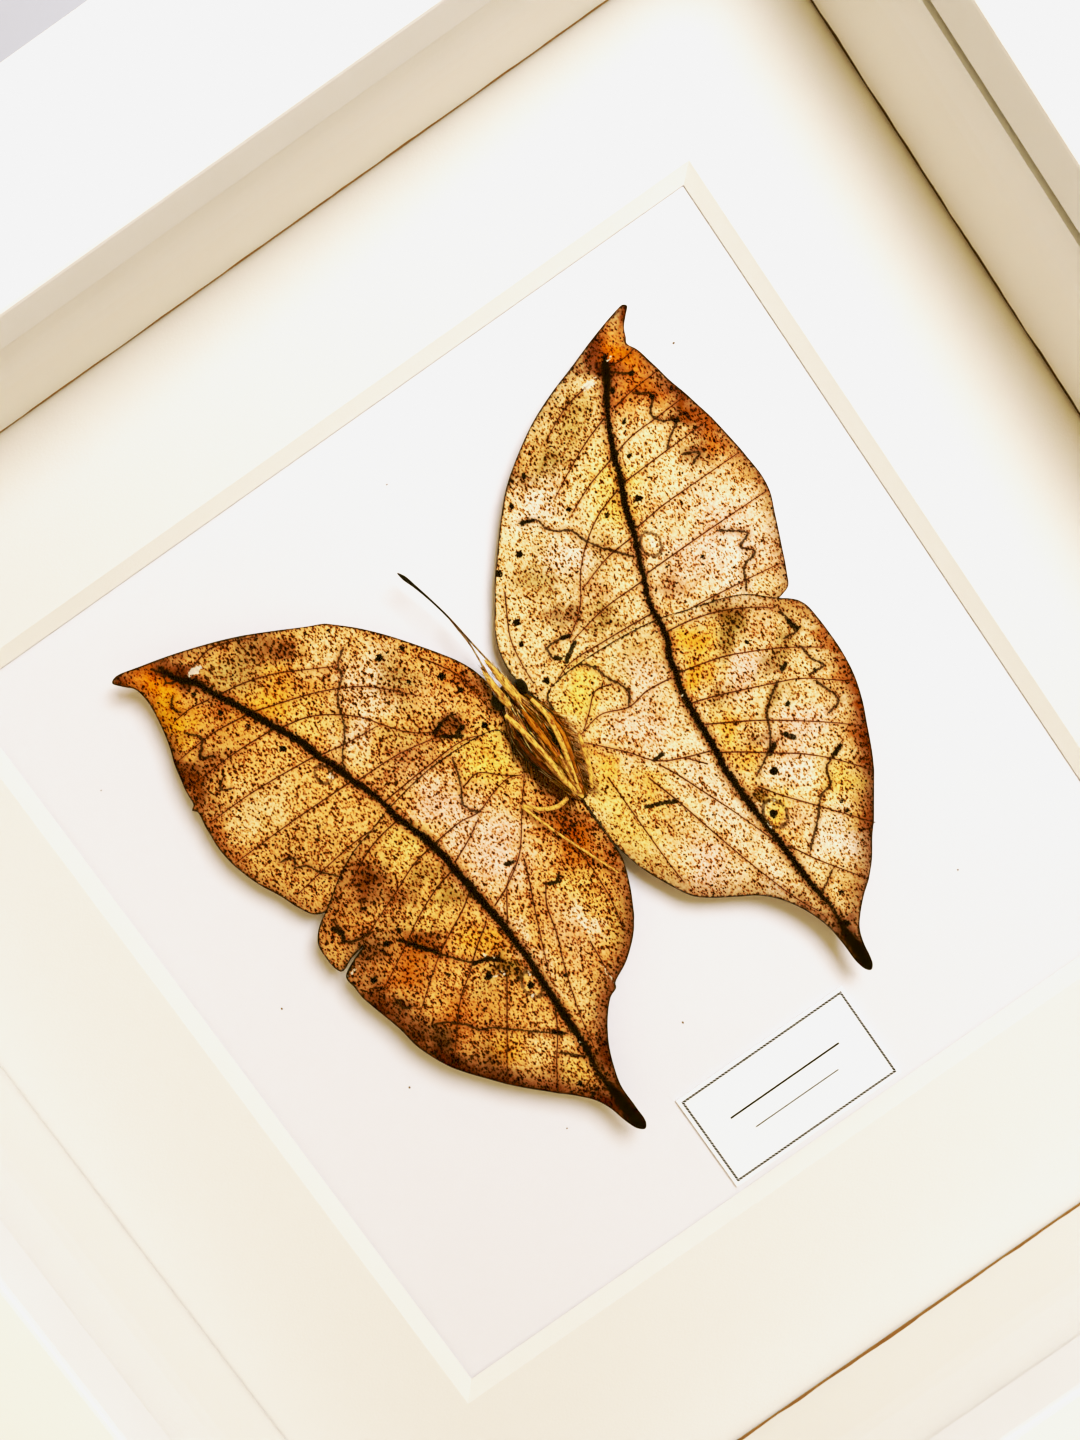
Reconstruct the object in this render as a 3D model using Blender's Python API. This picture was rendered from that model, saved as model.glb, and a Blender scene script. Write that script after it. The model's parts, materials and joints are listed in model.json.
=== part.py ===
"""A dead-leaf butterfly mounted underside up in a deep white box frame with a bevelled mat.

The frame lies on its back: +Z is the way it faces, +Y is up on a wall, and the origin is the
middle of the frame on the plane of its back.
"""

import math

import bmesh
import bpy
from mathutils import Matrix, Vector
from mathutils.geometry import delaunay_2d_cdt

MM = 0.001

# Frame moulding
OUTER_HALF = 125.0 * MM
FRAME_DEPTH = 45.0 * MM
LIP_HALF = 100.1 * MM
LIP_HEIGHT = 7.5 * MM
RABBET_HALF = 105.0 * MM
EDGE_ROUND = 0.8 * MM
EDGE_STEPS = 3
CLEARANCE = 0.3 * MM

# Heights of what the frame holds, from the back
PANEL_BACK = 5.0 * MM
PANEL_THICKNESS = 3.0 * MM
CARD_THICKNESS = 1.5 * MM
MAT_THICKNESS = 2.0 * MM
GLASS_THICKNESS = 2.0 * MM
SPACER_THICKNESS = 3.0 * MM
RIGHT_SPACER_LEAN = 1.4 * MM

PANEL_FRONT = PANEL_BACK + PANEL_THICKNESS
CARD_BACK = PANEL_FRONT + CLEARANCE
CARD_FRONT = CARD_BACK + CARD_THICKNESS
MAT_BACK = CARD_FRONT + CLEARANCE
MAT_FRONT = MAT_BACK + MAT_THICKNESS
SHELF_HEIGHT = FRAME_DEPTH - LIP_HEIGHT
GLASS_FRONT = SHELF_HEIGHT - CLEARANCE
GLASS_BACK = GLASS_FRONT - GLASS_THICKNESS
SHEET_HALF = RABBET_HALF - CLEARANCE

# Window of the mat, cut a little left of and above the middle
WINDOW_HALF = 72.5 * MM
WINDOW_CENTRE = Vector((-1.4, 2.5)) * MM
WINDOW_BEVEL = 2.1 * MM

# Paper label
LABEL_CENTRE = Vector((0.3, -57.7)) * MM
LABEL_SIZE = Vector((33.6, 18.1)) * MM
LABEL_THICKNESS = 0.3 * MM

# Fixings at the back
TAB_SIZE = Vector((8.0, 10.0, 0.8)) * MM
TAB_OFFSET = 55.0 * MM
HANGER_LENGTH = 46.0 * MM
HANGER_WIDTH = 9.0 * MM
HANGER_THICKNESS = 1.0 * MM
HANGER_TEETH = 11
HANGER_TOOTH = 1.6 * MM
HANGER_TOOTHED_SHARE = 0.7
HANGER_Y = 88.0 * MM

# Butterfly: wings rise from the thorax towards their margins
WING_THICKNESS = 0.3 * MM
WING_CELL = 5.0 * MM
WING_RIM_SHARE = 0.45
WING_SPREAD = 0.994
WELD_DISTANCE = 0.0001 * MM
WING_ROOT = Vector((0.0, 14.0)) * MM
WING_ROOT_HEIGHT = 12.2 * MM
WING_RISE = 2.8 * MM
WING_REACH = 65.0 * MM
WING_RISE_POWER = 1.1
HINDWING_ABOVE = 0.65 * MM
GLUE_RADIUS = 2.4 * MM
GLUE_STRETCH = 1.3
GLUE_SIDES = 16

# Wing outlines in millimetres, as of a flat wing, which spreads a little wider than a risen one:
# tip or corner first, then along the outer margin
FOREWING_LEFT = [
    (-49.9, 60.2), (-48.9, 58.8), (-47.6, 57.4), (-47.2, 55.0), (-47.7, 51.0), (-48.6, 47.3),
    (-49.8, 43.7), (-50.8, 39.3), (-51.1, 37.4), (-51.7, 36.8), (-51.3, 36.2), (-51.7, 33.0),
    (-52.0, 29.0), (-51.5, 25.2), (-50.3, 21.2), (-48.6, 17.5), (-47.3, 14.2), (-46.2, 12.2),
    (-44.6, 11.3), (-41.0, 10.6), (-30.0, 9.6), (-18.0, 10.2), (-9.0, 12.0), (-4.8, 14.0),
    (-4.8, 19.5), (-4.5, 22.3), (-3.9, 24.4), (-2.4, 25.2), (-1.9, 26.6), (-2.6, 29.6),
    (-3.7, 32.0), (-5.0, 34.1), (-7.5, 37.7), (-10.4, 41.6), (-13.6, 45.3), (-16.8, 48.3),
    (-17.5, 48.9), (-20.0, 50.1), (-25.0, 52.7), (-30.0, 55.1), (-35.0, 57.0), (-40.0, 58.6),
    (-45.0, 59.9), (-48.9, 60.7),
]
FOREWING_RIGHT = [
    (49.8, 61.9), (48.9, 60.9), (47.6, 59.5), (46.9, 58.0), (46.8, 57.2), (47.4, 55.3),
    (48.1, 52.5), (48.8, 49.2), (49.9, 45.3), (51.0, 40.7), (51.8, 36.3), (52.3, 32.0),
    (52.6, 28.2), (52.2, 25.3), (51.0, 22.2), (49.2, 17.7), (47.3, 13.2), (46.4, 11.5),
    (44.9, 10.9), (41.0, 10.4), (30.0, 9.6), (18.0, 10.2), (9.0, 12.0), (4.8, 14.0),
    (4.8, 19.5), (4.5, 22.3), (3.8, 24.5), (2.5, 25.2), (2.0, 26.4), (2.7, 30.0),
    (3.8, 32.4), (6.7, 36.5), (8.3, 38.8), (11.0, 42.0), (14.5, 46.0), (18.3, 49.8),
    (22.5, 52.8), (27.5, 55.7), (32.5, 57.7), (37.7, 59.3), (43.0, 61.0), (48.2, 62.3),
    (49.3, 62.4),
]
HINDWING_LEFT = [
    (-46.0, 10.3), (-47.3, 9.1), (-48.2, 7.6), (-48.4, 5.0), (-48.3, 2.2), (-47.9, 0.5),
    (-47.5, -0.4), (-47.4, -3.2), (-46.7, -6.4), (-45.5, -11.2), (-44.9, -15.0), (-43.4, -19.0),
    (-41.2, -22.7), (-38.2, -26.6), (-35.3, -30.0), (-31.6, -33.7), (-28.5, -36.7),
    (-26.6, -38.9), (-25.4, -41.3), (-24.5, -44.5), (-23.6, -46.6), (-22.6, -47.4),
    (-21.9, -46.6), (-21.8, -43.5), (-21.8, -39.5), (-21.0, -36.4), (-19.5, -32.7),
    (-17.2, -29.1), (-14.8, -26.6), (-12.9, -25.3), (-9.6, -23.4), (-6.7, -21.1), (-5.1, -19.3),
    (-4.6, -18.2), (-3.4, -16.6), (-2.2, -14.3), (-1.2, -11.9), (-0.7, -9.3), (-0.7, -6.0),
    (-1.2, -3.2), (-1.8, 0.0), (-2.1, 3.0), (-2.8, 6.0), (-3.7, 8.8), (-4.7, 11.5), (-4.9, 16.0),
    (-5.1, 19.3), (-8.0, 20.3), (-12.0, 20.6), (-17.0, 20.6), (-22.0, 20.0), (-27.0, 19.0),
    (-31.0, 17.8), (-34.0, 17.1), (-37.0, 15.9), (-40.0, 14.2), (-42.0, 12.8), (-44.2, 11.4),
]
HINDWING_RIGHT = [
    (45.0, 10.0), (46.2, 8.8), (46.9, 7.3), (47.2, 5.0), (47.4, 1.5), (47.4, -2.0), (46.9, -6.0),
    (45.7, -10.4), (44.2, -13.8), (42.2, -18.3), (40.0, -22.0), (37.3, -26.0), (35.2, -28.7),
    (32.2, -32.8), (30.0, -35.0), (28.2, -36.5), (26.0, -38.7), (24.5, -40.7), (23.7, -43.0),
    (23.3, -45.3), (22.9, -46.6), (22.2, -47.2), (21.5, -46.6), (21.0, -44.8), (20.9, -41.5),
    (20.6, -38.0), (19.9, -35.4), (18.6, -32.4), (16.6, -29.3), (14.2, -26.9), (11.0, -24.9),
    (7.8, -22.9), (5.4, -20.8), (3.9, -18.3), (2.3, -15.0), (1.1, -12.0), (0.4, -9.3),
    (0.2, -6.5), (0.5, -3.0), (1.1, 0.5), (2.0, 3.6), (2.8, 6.2), (3.8, 9.0), (4.7, 11.8),
    (4.9, 16.0), (5.1, 19.3), (8.0, 20.4), (12.0, 20.6), (17.0, 20.4), (22.0, 19.9),
    (27.0, 19.0), (31.0, 17.7), (34.0, 16.8), (37.5, 15.6), (40.2, 14.2), (42.7, 11.9),
    (44.3, 10.5),
]

# Body sections from the front of the head to the tip of the abdomen, in millimetres:
# place along Y, middle in X, half width, lowest and highest point
BODY_SECTIONS = [
    (24.6, 0.0, 0.5, 13.2, 14.2),
    (24.0, 0.0, 1.3, 12.5, 14.9),
    (22.6, 0.0, 1.8, 11.9, 15.4),
    (21.0, 0.0, 1.8, 11.9, 15.3),
    (19.2, 0.0, 3.1, 11.2, 16.2),
    (16.2, 0.0, 4.2, 10.9, 16.9),
    (12.6, 0.0, 4.0, 10.9, 16.9),
    (9.6, 0.0, 2.9, 11.2, 16.3),
    (6.6, 0.0, 2.0, 11.6, 15.6),
    (4.0, 0.1, 1.4, 12.1, 15.1),
    (2.4, 0.2, 0.7, 12.8, 14.4),
]
BODY_SIDES = 20
EYE_RADIUS = 1.25 * MM
EYE_SIDES = 14
EYE_ROWS = 8
EYES = {"left": Vector((-2.2, 22.7, 13.7)) * MM, "right": Vector((2.1, 22.8, 13.7)) * MM}

# Centre lines in millimetres, each point with the radius there
PALPS = {
    "left": [(-0.9, 20.6, 14.9, 0.6), (-1.2, 23.2, 15.2, 0.8), (-1.3, 26.2, 15.1, 0.6),
             (-1.2, 28.9, 15.0, 0.2)],
    "right": [(0.6, 20.6, 14.9, 0.6), (0.6, 23.2, 15.3, 0.8), (0.3, 26.4, 15.2, 0.6),
              (-0.1, 29.6, 15.0, 0.2)],
}
ANTENNAE = {
    "left": [(-1.2, 24.9, 14.0, 0.2), (-0.9, 29.0, 13.9, 0.2), (-0.6, 33.0, 14.2, 0.2),
             (-0.8, 36.5, 14.3, 0.2), (-1.0, 39.0, 14.3, 0.2)],
    "right": [(0.9, 24.9, 14.0, 0.2), (0.3, 29.0, 14.2, 0.2), (-0.3, 33.6, 14.9, 0.2),
              (-0.9, 38.4, 15.2, 0.2), (-1.6, 42.0, 15.4, 0.2), (-2.4, 45.2, 15.5, 0.25),
              (-3.0, 47.2, 15.5, 0.35), (-3.4, 48.4, 15.4, 0.15)],
}
LEGS = {
    "leg_left": [(-1.9, 4.2, 15.8, 0.4), (-4.0, 4.0, 15.7, 0.45), (-6.5, 5.2, 15.4, 0.4),
                 (-8.6, 7.2, 15.0, 0.4), (-8.2, 5.6, 14.9, 0.25), (-7.4, 3.0, 14.8, 0.22),
                 (-5.6, -2.0, 14.8, 0.2), (-3.6, -7.0, 14.9, 0.2), (-2.2, -10.5, 15.0, 0.15)],
    "leg_right": [(2.2, 3.4, 15.8, 0.25), (3.4, 5.6, 15.9, 0.4), (4.6, 9.0, 16.1, 0.45),
                  (5.5, 12.0, 16.0, 0.2)],
    "folded_leg_left": [(-2.4, 20.6, 16.7, 0.35), (-1.9, 18.6, 17.3, 0.5),
                        (-1.2, 14.6, 17.8, 0.45), (-0.8, 10.6, 17.3, 0.45),
                        (-0.9, 7.4, 16.5, 0.3)],
    "folded_leg_right": [(2.4, 20.4, 16.8, 0.35), (2.9, 17.0, 17.3, 0.45),
                         (2.4, 12.6, 17.6, 0.45), (1.4, 8.4, 16.9, 0.4),
                         (0.7, 5.2, 16.0, 0.3)],
}
LIMB_SIDES = 8
SHARP_ANGLE = math.radians(40)

PAINTED_WOOD = {"colour": (0.90, 0.89, 0.87), "roughness": 0.35, "metallic": 0.0}
WHITE_CARD = {"colour": (0.90, 0.88, 0.85), "roughness": 0.85, "metallic": 0.0}
MAT_BOARD = {"colour": (0.91, 0.89, 0.85), "roughness": 0.85, "metallic": 0.0}
LABEL_PAPER = {"colour": (0.91, 0.90, 0.90), "roughness": 0.70, "metallic": 0.0}
CLEAR_GLASS = {"colour": (0.95, 0.98, 0.97), "roughness": 0.02, "metallic": 0.0}
HARDBOARD = {"colour": (0.30, 0.18, 0.10), "roughness": 0.65, "metallic": 0.0}
ZINCED_STEEL = {"colour": (0.60, 0.60, 0.60), "roughness": 0.35, "metallic": 1.0}
DRY_WING = {"colour": (0.56, 0.34, 0.11), "roughness": 0.75, "metallic": 0.0}
BODY_SCALES = {"colour": (0.52, 0.36, 0.16), "roughness": 0.85, "metallic": 0.0}
LIMB_CUTICLE = {"colour": (0.60, 0.47, 0.27), "roughness": 0.55, "metallic": 0.0}
DRIED_GLUE = {"colour": (0.75, 0.66, 0.45), "roughness": 0.30, "metallic": 0.0}


def make_material(name, finish):
    material = bpy.data.materials.new(name)
    material.use_nodes = True
    shader = material.node_tree.nodes["Principled BSDF"]
    shader.inputs["Base Color"].default_value = (*finish["colour"], 1.0)
    shader.inputs["Roughness"].default_value = finish["roughness"]
    shader.inputs["Metallic"].default_value = finish["metallic"]
    return material


def add_object(name, shape, finish, smooth=False):
    """Turns a bmesh into a named object with a material of its own."""
    bmesh.ops.recalc_face_normals(shape, faces=shape.faces)
    mesh = bpy.data.meshes.new(name)
    shape.to_mesh(mesh)
    shape.free()
    if smooth:
        mesh.shade_smooth()
        mesh.set_sharp_from_angle(angle=SHARP_ANGLE)
    mesh.materials.append(make_material(name, finish))
    piece = bpy.data.objects.new(name, mesh)
    bpy.context.scene.collection.objects.link(piece)
    return piece


def add_prism(name, outline, low, high, finish):
    """Extrudes a flat outline from one height to another."""
    shape = bmesh.new()
    bottom = shape.faces.new([shape.verts.new((x, y, low)) for x, y in outline])
    raised = bmesh.ops.extrude_face_region(shape, geom=[bottom])["geom"]
    top = [part for part in raised if isinstance(part, bmesh.types.BMVert)]
    bmesh.ops.translate(shape, verts=top, vec=(0.0, 0.0, high - low))
    return add_object(name, shape, finish)


def rectangle(low_x, high_x, low_y, high_y):
    return [(low_x, low_y), (high_x, low_y), (high_x, high_y), (low_x, high_y)]


def add_plate(name, half, low, high, finish):
    return add_prism(name, rectangle(-half, half, -half, half), low, high, finish)


def rounded_corner(corner_out, corner_up, out_sign):
    """Points of a quarter round at a front edge, as (distance from the middle, height)."""
    points = []
    for step in range(EDGE_STEPS + 1):
        angle = math.pi / 2 * step / EDGE_STEPS
        out = corner_out - out_sign * EDGE_ROUND * (1 - math.cos(angle))
        up = corner_up - EDGE_ROUND * (1 - math.sin(angle))
        points.append((out, up))
    return points


def rail_profile():
    """The moulding's section, anticlockwise from the foot of its outer side."""
    outer_edge = rounded_corner(OUTER_HALF, FRAME_DEPTH, 1)
    inner_edge = rounded_corner(LIP_HALF, FRAME_DEPTH, -1)[::-1]
    shelf = [(LIP_HALF, SHELF_HEIGHT), (RABBET_HALF, SHELF_HEIGHT), (RABBET_HALF, 0.0)]
    return [(OUTER_HALF, 0.0)] + outer_edge + inner_edge + shelf


def add_rail(name, turn):
    """One mitred side of the frame, modelled as the top one and turned into place."""
    shape = bmesh.new()
    ends = []
    for side in (-1, 1):
        ends.append([
            shape.verts.new((side * (out - CLEARANCE / 2), out, up)) for out, up in rail_profile()
        ])
    shape.faces.new(ends[0])
    shape.faces.new(ends[1][::-1])
    count = len(ends[0])
    for index in range(count):
        after = (index + 1) % count
        shape.faces.new((ends[0][index], ends[0][after], ends[1][after], ends[1][index]))
    spin = Matrix.Rotation(turn, 3, "Z")
    bmesh.ops.rotate(shape, verts=shape.verts, cent=(0, 0, 0), matrix=spin)
    return add_object(name, shape, PAINTED_WOOD)


def build_frame():
    for name, quarter_turns in (("top", 0), ("left", 1), ("bottom", 2), ("right", 3)):
        add_rail("frame_rail_" + name, quarter_turns * math.pi / 2)
    add_plate("glass", SHEET_HALF, GLASS_BACK, GLASS_FRONT, CLEAR_GLASS)
    add_plate("backing_card", SHEET_HALF, CARD_BACK, CARD_FRONT, WHITE_CARD)
    add_plate("back_panel", SHEET_HALF, PANEL_BACK, PANEL_FRONT, HARDBOARD)


def build_spacers():
    """Board strips that hold the glass off the mat; the side strips stand between the others."""
    low = MAT_FRONT + CLEARANCE
    high = GLASS_BACK - CLEARANCE
    outer = SHEET_HALF
    inner = SHEET_HALF - SPACER_THICKNESS
    end = inner - CLEARANCE
    lean = RIGHT_SPACER_LEAN
    strips = {
        "spacer_top": rectangle(-outer, outer, inner, outer),
        "spacer_bottom": rectangle(-outer, outer, -outer, -inner),
        "spacer_left": rectangle(-outer, -inner, -end, end),
        "spacer_right": rectangle(inner - lean, outer - lean, -end, end),
    }
    for name, outline in strips.items():
        add_prism(name, outline, low, high, WHITE_CARD)


def build_mat():
    """A square sheet with a square window whose cut edge slopes in towards the card."""
    shape = bmesh.new()
    sheet = (Vector((0.0, 0.0)), SHEET_HALF)
    wide = (WINDOW_CENTRE, WINDOW_HALF)
    narrow = (WINDOW_CENTRE, WINDOW_HALF - WINDOW_BEVEL)
    rings = [(sheet, MAT_BACK), (sheet, MAT_FRONT), (wide, MAT_FRONT), (narrow, MAT_BACK)]
    loops = []
    for (centre, half), height in rings:
        corners = rectangle(centre.x - half, centre.x + half, centre.y - half, centre.y + half)
        loops.append([shape.verts.new((x, y, height)) for x, y in corners])
    for ring in range(4):
        inner, outer = loops[ring], loops[(ring + 1) % 4]
        for corner in range(4):
            after = (corner + 1) % 4
            shape.faces.new((inner[corner], inner[after], outer[after], outer[corner]))
    return add_object("mat", shape, MAT_BOARD)


def build_label():
    half = LABEL_SIZE / 2
    low = CARD_FRONT + CLEARANCE
    outline = rectangle(
        LABEL_CENTRE.x - half.x, LABEL_CENTRE.x + half.x,
        LABEL_CENTRE.y - half.y, LABEL_CENTRE.y + half.y)
    add_prism("label", outline, low, low + LABEL_THICKNESS, LABEL_PAPER)


def build_tabs():
    """Flat steel tabs that stand in from the rails and hold the back panel in."""
    high = PANEL_BACK - CLEARANCE
    low = high - TAB_SIZE.z
    reach = RABBET_HALF - CLEARANCE
    number = 0
    for quarter_turns in range(4):
        turn = Matrix.Rotation(quarter_turns * math.pi / 2, 2)
        for offset in (-TAB_OFFSET, TAB_OFFSET):
            number += 1
            half = TAB_SIZE.x / 2
            tip = reach - TAB_SIZE.y
            outline = [
                (offset - half, reach), (offset + half, reach),
                (offset + half, tip + half), (offset + half / 2, tip),
                (offset - half / 2, tip), (offset - half, tip + half)]
            turned = [turn @ Vector(point) for point in outline]
            add_prism(f"bend_tab_{number}", turned, low, high, ZINCED_STEEL)


def build_hanger():
    """A saw-toothed hanging plate, flat against the back panel under the top rail."""
    high = PANEL_BACK - CLEARANCE
    low = high - HANGER_THICKNESS
    half = HANGER_LENGTH / 2
    top = HANGER_Y + HANGER_WIDTH / 2
    bottom = HANGER_Y - HANGER_WIDTH / 2
    toothed = HANGER_LENGTH * HANGER_TOOTHED_SHARE
    pitch = toothed / HANGER_TEETH
    outline = [(half, bottom), (half, top), (-half, top), (-half, bottom)]
    for tooth in range(HANGER_TEETH):
        left = -toothed / 2 + tooth * pitch
        outline.append((left, bottom))
        outline.append((left + pitch / 2, bottom + HANGER_TOOTH))
    outline.append((toothed / 2, bottom))
    add_prism("hanger", outline, low, high, ZINCED_STEEL)


def spline_point(before, start, end, after, share):
    """A point between start and end on a centripetal Catmull-Rom curve."""
    knots = [0.0]
    points = (before, start, end, after)
    for first, second in zip(points, points[1:]):
        knots.append(knots[-1] + max((second - first).length, 1e-9) ** 0.5)
    place = knots[1] + (knots[2] - knots[1]) * share
    level = list(points)
    for depth in (1, 2, 3):
        level = [
            level[i] + (level[i + 1] - level[i]) * ((place - knots[low]) / (knots[high] - knots[low]))
            for i, (low, high) in enumerate(spans(depth))
        ]
    return level[0]


def spans(depth):
    """Knot pairs that each level of the curve's interpolation runs between."""
    if depth == 1:
        return ((0, 1), (1, 2), (2, 3))
    if depth == 2:
        return ((0, 2), (1, 3))
    return ((1, 2),)


def smooth_loop(points, steps):
    """A closed smooth curve through the points, with some steps between each two."""
    count = len(points)
    curve = []
    for index in range(count):
        near = [points[(index + shift) % count] for shift in (-1, 0, 1, 2)]
        curve.extend(spline_point(*near, step / steps) for step in range(steps))
    return curve


def smooth_path(points, steps):
    """An open smooth curve through the points, its ends carried straight on."""
    first = points[0] * 2 - points[1]
    last = points[-1] * 2 - points[-2]
    padded = [first] + points + [last]
    curve = []
    for index in range(len(points) - 1):
        near = padded[index:index + 4]
        curve.extend(spline_point(*near, step / steps) for step in range(steps))
    return curve + [points[-1].copy()]


def forewing_underside(x, y):
    """Height of the forewings' underside, rising from the thorax to the margins."""
    reach = math.hypot(x - WING_ROOT.x, y - WING_ROOT.y) / WING_REACH
    return WING_ROOT_HEIGHT + WING_RISE * reach ** WING_RISE_POWER


def hindwing_underside(x, y):
    return forewing_underside(x, y) + HINDWING_ABOVE


def is_inside(point, loop, margin):
    """True for a point in the loop and at least the margin away from its edge."""
    inside = False
    for first, second in zip(loop, loop[1:] + loop[:1]):
        run = second - first
        share = (point - first).dot(run) / run.length_squared
        nearest = first + run * min(1.0, max(0.0, share))
        if (point - nearest).length < margin:
            return False
        if (first.y > point.y) != (second.y > point.y):
            crossing = first.x + run.x * (point.y - first.y) / run.y
            inside ^= crossing > point.x
    return inside


def cells(values):
    """Whole numbers of lattice cells that span the values."""
    return range(math.floor(min(values) / WING_CELL), math.ceil(max(values) / WING_CELL))


def lattice_inside(loop):
    """Points of a staggered lattice that lie inside the loop and clear of its edge."""
    rows = cells([point.y for point in loop])
    columns = cells([point.x for point in loop])
    points = []
    for row in rows:
        shift = 0.5 * (row % 2)
        points.extend(Vector(((column + shift) * WING_CELL, row * WING_CELL)) for column in columns)
    return [point for point in points if is_inside(point, loop, WING_CELL * WING_RIM_SHARE)]


def add_wing(name, outline, underside):
    """A thin curved blade: its outline filled with triangles and given a thickness."""
    flat_points = [Vector(point) * MM for point in outline]
    spread = [WING_ROOT + (point - WING_ROOT) * WING_SPREAD for point in flat_points]
    loop = smooth_loop(spread, 2)
    rim = [(index, (index + 1) % len(loop)) for index in range(len(loop))]
    flat, _, triangles, sources, _, _ = delaunay_2d_cdt(
        loop + lattice_inside(loop), rim, [], 1, WELD_DISTANCE)
    shape = bmesh.new()
    lower = [shape.verts.new((p.x, p.y, underside(p.x, p.y))) for p in flat]
    upper = [shape.verts.new((v.co.x, v.co.y, v.co.z + WING_THICKNESS)) for v in lower]
    for a, b, c in triangles:
        shape.faces.new((lower[c], lower[b], lower[a]))
        shape.faces.new((upper[a], upper[b], upper[c]))
    place = {source: index for index, origin in enumerate(sources) for source in origin}
    for first, second in rim:
        a, b = place[first], place[second]
        shape.faces.new((lower[a], lower[b], upper[b], upper[a]))
    return add_object(name, shape, DRY_WING, smooth=True)


def loft(shape, rings):
    """Skins rings of equal count and closes both ends with a pole."""
    rows = [[shape.verts.new(point) for point in ring] for ring in rings]
    sides = len(rows[0])
    for row, following in zip(rows, rows[1:]):
        for side in range(sides):
            after = (side + 1) % sides
            shape.faces.new((row[side], row[after], following[after], following[side]))
    for row in (rows[0], rows[-1]):
        middle = sum((vert.co for vert in row), Vector()) / sides
        pole = shape.verts.new(middle)
        for side in range(sides):
            shape.faces.new((row[side], row[(side + 1) % sides], pole))


def limb_rings(points):
    """Rings of a tapering round limb along a smooth path of (x, y, z, radius) in millimetres."""
    path = smooth_path([Vector(point) * MM for point in points], 3)
    rings = []
    for index, point in enumerate(path):
        along = (path[min(index + 1, len(path) - 1)] - path[max(index - 1, 0)]).to_3d().normalized()
        across = along.cross(Vector((0, 0, 1))).normalized()
        upward = across.cross(along)
        ring = []
        for side in range(LIMB_SIDES):
            angle = 2 * math.pi * side / LIMB_SIDES
            ring.append(point.to_3d() + (across * math.cos(angle) + upward * math.sin(angle)) * point.w)
        rings.append(ring)
    return rings


def add_limb(name, points, finish):
    shape = bmesh.new()
    loft(shape, limb_rings(points))
    return add_object(name, shape, finish, smooth=True)


def unite(piece, parts):
    """Joins closed parts into the piece in one union, keeping each part only as a hidden guide."""
    guides = bpy.data.collections.new(piece.name + "_guides")
    bpy.context.scene.collection.children.link(guides)
    for part in parts:
        part.hide_render = True
        part.display_type = "WIRE"
        guides.objects.link(part)
    union = piece.modifiers.new("union", "BOOLEAN")
    union.operation = "UNION"
    union.solver = "EXACT"
    union.operand_type = "COLLECTION"
    union.collection = guides


def build_body():
    """Head, thorax and abdomen as one form, with the eyes and palps grown from it."""
    shape = bmesh.new()
    rings = []
    for along, middle, half_width, low, high in BODY_SECTIONS:
        ring = []
        for side in range(BODY_SIDES):
            angle = 2 * math.pi * side / BODY_SIDES
            x = middle + half_width * math.cos(angle)
            z = (low + high) / 2 + (high - low) / 2 * math.sin(angle)
            ring.append(Vector((x, along, z)) * MM)
        rings.append(ring)
    loft(shape, rings)
    body = add_object("body", shape, BODY_SCALES, smooth=True)
    parts = []
    for side, centre in EYES.items():
        eye = bmesh.new()
        bmesh.ops.create_uvsphere(
            eye, u_segments=EYE_SIDES, v_segments=EYE_ROWS, radius=EYE_RADIUS,
            matrix=Matrix.Translation(centre))
        parts.append(add_object("eye_guide_" + side, eye, BODY_SCALES))
    for side, points in PALPS.items():
        parts.append(add_limb("palp_guide_" + side, points, BODY_SCALES))
    unite(body, parts)


def build_glue():
    """The dab under the thorax that fixes the butterfly to the card."""
    low = CARD_FRONT + CLEARANCE
    high = min(section[3] for section in BODY_SECTIONS) * MM - CLEARANCE
    outline = []
    for step in range(GLUE_SIDES):
        angle = 2 * math.pi * step / GLUE_SIDES
        x = WING_ROOT.x + GLUE_RADIUS * math.cos(angle)
        y = WING_ROOT.y + GLUE_RADIUS * GLUE_STRETCH * math.sin(angle)
        outline.append((x, y))
    add_prism("glue_dab", outline, low, high, DRIED_GLUE)


def build_butterfly():
    add_wing("forewing_left", FOREWING_LEFT, forewing_underside)
    add_wing("forewing_right", FOREWING_RIGHT, forewing_underside)
    add_wing("hindwing_left", HINDWING_LEFT, hindwing_underside)
    add_wing("hindwing_right", HINDWING_RIGHT, hindwing_underside)
    build_body()
    for side, points in ANTENNAE.items():
        add_limb("antenna_" + side, points, LIMB_CUTICLE)
    for name, points in LEGS.items():
        add_limb(name, points, LIMB_CUTICLE)
    build_glue()


def main():
    for old in list(bpy.data.objects):
        bpy.data.objects.remove(old, do_unlink=True)
    build_frame()
    build_spacers()
    build_mat()
    build_label()
    build_tabs()
    build_hanger()
    build_butterfly()


main()
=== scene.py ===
import bpy
import json
import math
import random

import numpy as np
from mathutils import Matrix, Vector

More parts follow.
